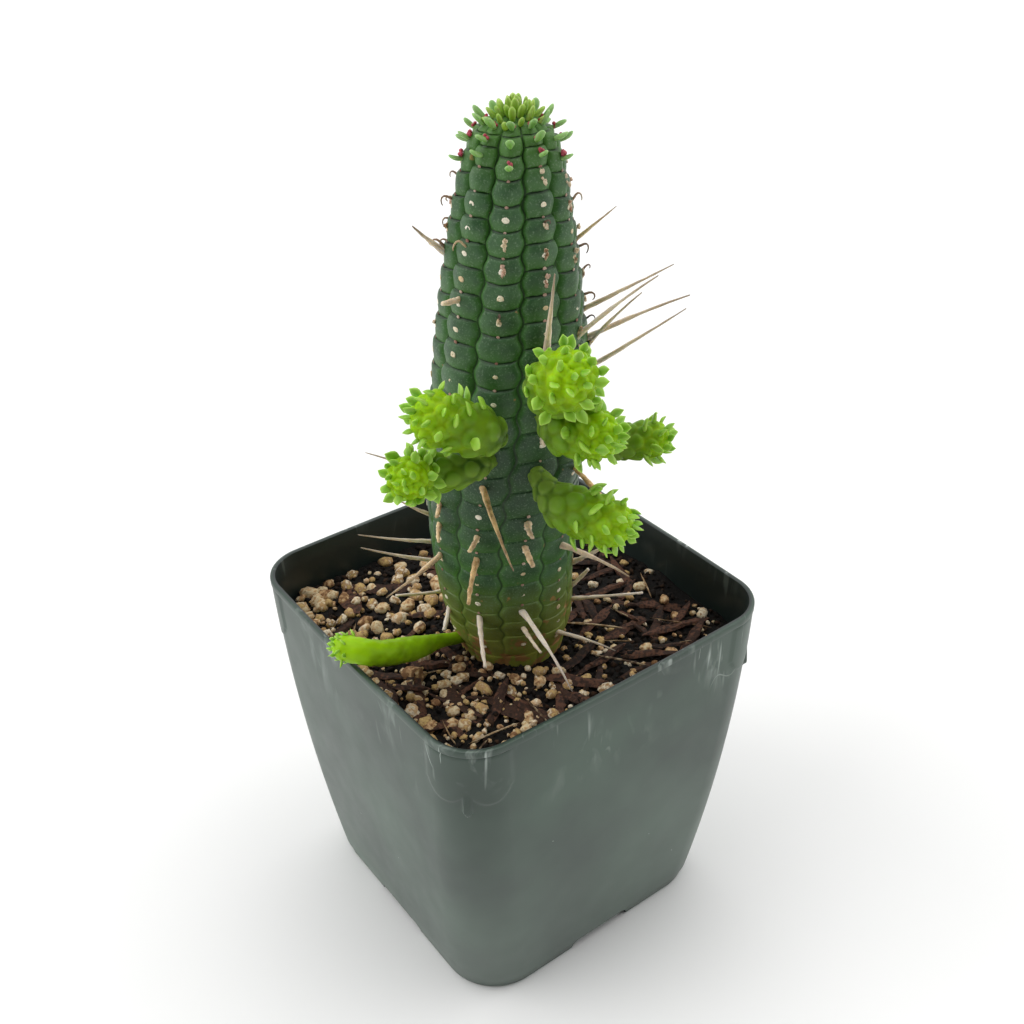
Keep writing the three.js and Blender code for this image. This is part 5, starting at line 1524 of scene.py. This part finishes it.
def shoot_surface_group():
    """A node group from a place along a curve and a turn round it to a place on a round-tipped branch."""
    put, given = new_tree("shoot_surface", {
        "Curve": "geometry", "Place": 0.0, "Turn": 0.0, "Girth": 0.0, "Neck": 0.0,
    }, Position="Vector", Outward="Vector", Tangent="Vector")
    _, start = round_tip(put, given["Curve"], given["Girth"])
    middle = put("SampleCurve", mode="FACTOR", use_all_curves=True, Curves=given["Curve"],
                 Factor=given["Place"]).outputs
    side = put("VectorRotate", rotation_type="AXIS_ANGLE", Vector=middle["Normal"], Axis=middle["Tangent"],
               Angle=given["Turn"])

    # A narrow neck, a full body and half a ball at the tip
    swell = put("MapRange", interpolation_type="SMOOTHSTEP", Value=given["Place"], From_Min=0.08,
                From_Max=0.5, To_Min=given["Neck"])
    over = put("MapRange", given["Place"], From_Min=start, From_Max=1.0)
    level = put("Math SQRT", put("Math SUBTRACT", 1.0, put("Math MULTIPLY", over, over)))
    reach = put("VectorMath SCALE", side, Scale=put("Math MULTIPLY", swell, given["Girth"], level))
    out = put("VectorMath ADD", put("VectorMath SCALE", side, Scale=level),
              put("VectorMath SCALE", middle["Tangent"], Scale=over))
    place = put("VectorMath ADD", middle["Position"], reach)
    return put("GroupOutput", place, out, middle["Tangent"]).id_data


shoot_surface = shoot_surface_group()
print("nodes in the shoots' rule:", len(shoot_surface.nodes))

# %% [markdown]
# Young skin has little wax, so it is glossier than the stem's and more light passes below it. It runs from
# dark green at the neck to yellow green at the tip. The tree notes how young each place is and how deep in
# the crease between tubercles, and the material paints shade into the creases of the older skin.

# %% Shoot skin
def young_skin():
    """Young succulent skin: dark green at the neck to yellow green at the tip, with painted shade in the
    creases.
    """
    material, put, shader, place, age, hollow = new_material("young_shoot_skin", "along", "hollow")
    cloud = put("TexNoise", place, Scale=260.0, Detail=4.0)
    shift = put("MapRange", cloud, From_Min=0.3, From_Max=0.7, To_Min=-0.12, To_Max=0.12)
    share = put("Math ADD", age, shift, use_clamp=True)
    skin = paint(put("ValToRGB", share), [(0, "789538"), (0.45, "6a941c"), (0.78, "82ac16"), (1, "9aca0a")])
    # Creases: painted shade where the skin is old, and yellow where it is thin and young
    crease_shade_and_tint = put("Mix", data_type="RGBA", Factor=share, A=colour("2f5018"), B=colour("a0c800"))
    deep = put("MapRange", hollow, From_Min=0.3, From_Max=0.8, To_Max=0.8)
    pores = put("TexNoise", place, Scale=1400.0, Detail=3.0)
    feed(shader, Base_Color=put("Mix", data_type="RGBA", Factor=deep, A=skin, B=crease_shade_and_tint), Roughness=0.42,
         IOR=1.42, Specular_IOR_Level=0.2, Subsurface_Weight=0.25, Subsurface_Radius=(0.5, 1.0, 0.15),
         Subsurface_Scale=1.5 * MM, Normal=put("Bump", Strength=0.2, Distance=0.1 * MM, Height=pores))
    return material


shoot_flesh = young_skin()
tip_leaf_flesh = fleshy("shoot_leaf_flesh", "6fa81c 90c02c bce064", 0.9)
print("shoot materials:", shoot_flesh.name, tip_leaf_flesh.name)

# %% [markdown]
# The skin swells round each eye, so that creases form half way between neighbours. How far a place is from
# its nearest eye, as a share of that distance, gives both the swelling and the depth that the colours read
# for the painted crease shade.

# %% Tubercles of a shoot
def swollen(put, body, eyes, most):
    """A shoot's skin pushed out round its eyes by some length, fuller on the side towards the tip."""
    cell, relief = named_numbers(put, ("cell", "relief"))
    out, forward = (put("InputNamedAttribute", data_type="FLOAT_VECTOR", Name=label)
                    for label in ("out", "forward"))
    nearest = put("Proximity", target_element="POINTS", Geometry=eyes).outputs
    hollow = put("Math POWER", put("Math DIVIDE", nearest["Distance"], cell), 3.2, use_clamp=True)
    apart = put("VectorMath SUBTRACT", put("InputPosition"), nearest["Position"])
    ahead = put("Math DIVIDE", put("VectorMath DOT_PRODUCT", apart, forward), cell)
    lip = put("Math MULTIPLY_ADD", ahead, 0.8, 1.0)
    lift = put("Math MULTIPLY", put("Math SUBTRACT", 1.0, hollow), lip, relief)
    lift = put("Math MULTIPLY", put("Math SUBTRACT", lift, 0.55), most)
    # On a nearly smooth shoot the creases hardly show, and their painted shade hardly shows in the colour
    # either
    telling = put("MapRange", most, From_Max=0.5 * MM)
    body = noted(put, body, {"hollow": put("Math MULTIPLY", hollow, telling)})
    return put("SetPosition", body, Offset=put("VectorMath SCALE", out, Scale=lift))


SHOOT_SPOKES = 84
SHOOT_RINGS = 130
TIP_START = 0.2  # height on the cylinder, which runs from -0.5 to 0.5, where the round tip begins
print("a shoot's skin is", SHOOT_SPOKES, "by", SHOOT_RINGS, "faces")

# %% [markdown]
# The tree draws a smooth curve through a few given places, sends a cylinder's points to the surface round it
# and sets up a spiral of eyes on the same surface. Every young eye carries a small spoon-shaped leaf.

# %% The shoot tree
def shoot_tree():
    """A branch along a path: skin that swells round a spiral of eyes, with leaves on the young ones."""
    put, given = new_tree("side_shoot", {
        "Path": "geometry", "Rib": 0.0, "Row": 0.0, "Girth": 0.0, "Neck": 0.0, "Eyes": 60, "Relief": 0.0,
        "Cell": 0.001, "Young From": 0.0, "Leaf From": 0.5, "Leaf Length": 0.0, "Splay": 0.0, "Seed": 1})

    # The path starts under the skin of the stem at its eye and passes through the given points
    eye = put("Group", node_tree=stem_surface, Rib=given["Rib"], Row=given["Row"]).outputs
    index = put("InputIndex")
    is_root = put("Compare EQUAL", data_type="INT", A=index, B=0)
    is_start = put("Compare LESS_THAN", data_type="INT", A=index, B=2)
    depth = put("Math MULTIPLY", is_root, -2.0 * MM)
    inward = put("VectorMath SCALE", eye["Outward"], Scale=depth)
    path = put("SetPosition", given["Path"], Selection=is_start, Position=eye["Position"], Offset=inward)
    curve = put("CurveSplineType", spline_type="BEZIER", Curve=put("MeshToCurve", path))
    curve = put("CurveSetHandles", handle_type="AUTO", Curve=curve)
    curve = put("SetSplineResolution", curve, Resolution=16)
    shape = {"Curve": curve, "Girth": given["Girth"], "Neck": given["Neck"]}

    # Eyes: equal steps along the axis are equal areas, on the body and on the round tip alike
    rest = put("Math SUBTRACT", 1.0, put("Math DIVIDE", index, given["Eyes"]))
    eye_place = put("Math SUBTRACT", 1.0, put("Math POWER", rest, 1.5))
    eye_turn = put("Math MULTIPLY", index, GOLDEN_ANGLE)
    spot = put("Group", node_tree=shoot_surface, **shape, Place=eye_place, Turn=eye_turn).outputs
    eyes = put("SetPosition", put("Points", given["Eyes"]), Position=spot["Position"])

    # Skin: rings at equal steps over the surface, so the round tip is as finely divided as the body
    mesh, turn, level = drum(put, SHOOT_SPOKES, SHOOT_RINGS)
    tip, start = round_tip(put, curve, given["Girth"])
    straight = put("MapRange", level, From_Min=-0.5, From_Max=TIP_START, To_Max=start)
    bend = put("MapRange", level, From_Min=TIP_START, From_Max=0.5, To_Max=math.radians(88))
    place = put("Math MULTIPLY_ADD", put("Math SINE", bend), tip, straight)
    skin = put("Group", node_tree=shoot_surface, **shape, Place=place, Turn=turn).outputs
    age = put("MapRange", place, From_Min=given["Young From"], From_Max=1.0)
    fade = put("MapRange", place, From_Min=0.1, From_Max=0.7, To_Min=0.6)
    cell = put("MapRange", place, From_Min=0.55, To_Min=0.94, To_Max=0.66)
    cell = put("Math MULTIPLY", cell, given["Cell"])
    body = noted(put, mesh, {"along": age, "relief": fade, "cell": cell})
    body = noted(put, body, {"out": skin["Outward"], "forward": skin["Tangent"]}, data_type="FLOAT_VECTOR")
    body = put("SetPosition", body, Position=skin["Position"])
    body = swollen(put, body, eyes, given["Relief"])
    for label in ("relief", "cell", "out", "forward"):
        body = put("RemoveAttribute", body, Name=label)
    body = put("SetMaterial", body, Material=shoot_flesh)

    # Leaves: on the eyes beyond a place, leaning forwards, shorter towards the very tip
    young = put("Compare GREATER_THAN", eye_place, given["Leaf From"])
    splay = put("RandomValue", data_type="FLOAT_VECTOR", Min=(-1, -1, -1), Max=(1, 1, 1), Seed=given["Seed"])
    along = put("VectorMath ADD", spot["Outward"],
                put("VectorMath SCALE", spot["Tangent"], Scale=0.4),
                put("VectorMath SCALE", splay, Scale=given["Splay"]))
    shorter = put("MapRange", eye_place, From_Min=given["Leaf From"], From_Max=1.0, To_Min=1.0, To_Max=0.7)
    uneven = put("RandomValue", Min=0.8, Max=1.1, Seed=given["Seed"])
    size = put("Math MULTIPLY", shorter, given["Leaf Length"], uneven)
    wide = put("Math MULTIPLY", size, 1.05)
    leaves = place_variants(
        put, eyes, spoon_shapes, given["Seed"], tip_leaf_flesh, Selection=young,
        Rotation=aimed(put, along, spot["Tangent"]), Scale=put("CombineXYZ", size, wide, wide))
    joined = put("JoinGeometry", body)
    feed(joined, leaves)
    return finished(put, joined)


side_shoot = shoot_tree()
print("nodes in the shoot tree:", len(side_shoot.nodes))

# %% The seven shoots
# Each: rib and row of its eye, girth, share of the girth at its neck, and the places that its middle passes
# through, in millimetres from the pot's middle. Then how it looks: its number of eyes, its relief, and the
# places along it where its skin starts to be young and where its leaves start
SHOOTS = {
    "upper_left": (0, 11.1, 5.2, 0.42, [(-19, -20.5, 144.5), (-27.8, -17.8, 149.4)], 52, 0.85, 0.28, 0.5),
    "lower_left": (0, 10.1, 4.1, 0.45, [(-19.5, -17, 135), (-29.2, -12.9, 135.6), (-34.6, -16.9, 138.3)],
                   60, 0.75, 0.2, 0.58),
    "upper_right": (1, 12, 5.8, 0.36, [(-7.8, -27, 153), (-9.4, -33.6, 158.1)], 52, 0.85, 0.28, 0.5),
    "mid_right": (1, 11, 4.9, 0.42, [(-5.8, -27, 143.5), (-3.6, -35, 145)], 52, 0.8, 0.2, 0.55),
    "far_right": (3, 9.2, 4, 0.6, [(18, -17, 128.3), (23.8, -21.7, 129)], 50, 0.6, 0.45, 0.72),
    "lower_right": (1, 9, 5, 0.42, [(-6.6, -28, 127.5), (-1.8, -37.4, 125.6)], 56, 0.8, 0.25, 0.56),
    "long_left": (9, 0.55, 2.9, 0.5, [(-20.8, -1.7, 82.5), (-27.1, -3.3, 84.9), (-33.1, -4.7, 87.6),
                                      (-38.7, -5.8, 90.4), (-43.2, -4.9, 92.7), (-45.2, -2.6, 93)],
                  110, 0.12, -3.5, 0.88),
}
CELL = 2.5 * MM  # from an eye to the creases round it, on a shoot of this girth or more:
CELL_GIRTH = 4.5
LEAF_LENGTH = 3.5 * MM  # on a shoot of this girth or more:
LEAF_GIRTH = 4.2
SHOOT_SEED = 20


def shoot_path(name, girth, through):
    """A chain of edges: two points that the tree will place, the given places and the round tip's end."""
    places = [MIDDLE + Vector(point) * MM for point in through]
    onward = (places[-1] - places[-2]).normalized()
    points = [places[0], places[0], *places, places[-1] + onward * girth * MM]
    return new_mesh(name, points, [(i, i + 1) for i in range(len(points) - 1)])


for number, (name, values) in enumerate(SHOOTS.items()):
    rib, row, girth, neck, through, eyes, relief, young_from, leaf_from = values
    run_tree(f"shoot_{name}_skin", side_shoot, {
        "Rib": float(rib), "Row": float(row), "Girth": girth * MM, "Neck": neck, "Eyes": eyes,
        "Relief": relief * MM, "Cell": CELL * min(1, girth / CELL_GIRTH), "Young From": young_from,
        "Leaf From": leaf_from, "Leaf Length": LEAF_LENGTH * min(1, girth / LEAF_GIRTH) ** 2,
        "Splay": 0.75, "Seed": SHOOT_SEED + number,
    }, shoot_path(name, girth, through))

# %% [markdown]
# ## Hand over
#
# The small shapes have done their work and go. Every piece rides with the frame's root, because nothing on
# the plant or the pot moves. One piece of each group stands in for a plain solid of the frame, and the others
# only add to it.

# %% Hand over
PIECES = {
    "stem_skin": ("stem_body", "stem_leaves", "crown_leaves", "flower_buds", "leaf_scars", "groove_dots",
                  "dried_clusters", "dried_hooks", "dried_stalks"),
    "pot_plastic": ("pot_shell",),
    "potting_mix": ("peat_bed", "bark_chips", "pumice_stones", "pumice_gravel", "pumice_grit", "peat_crumbs",
                    "bark_slivers", "dry_fibres"),
    "shoot_skin": tuple(f"shoot_{name}_skin" for name in SHOOTS),
}
REPLACED = {"stem_body": "main_stem", "pot_shell": "pot", "peat_bed": "soil"}
REPLACED |= {f"shoot_{name}_skin": f"shoot_{name}" for name in SHOOTS}

for shapes in [c for c in scene.collection.children if c.name.endswith("_shapes")]:
    for shape in list(shapes.objects):
        bpy.data.objects.remove(shape)
for slot_name, piece_names in PIECES.items():
    for piece_name in piece_names:
        piece = bpy.data.objects[piece_name]
        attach(piece, "root")
        if piece_name in REPLACED:
            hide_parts(REPLACED[piece_name])
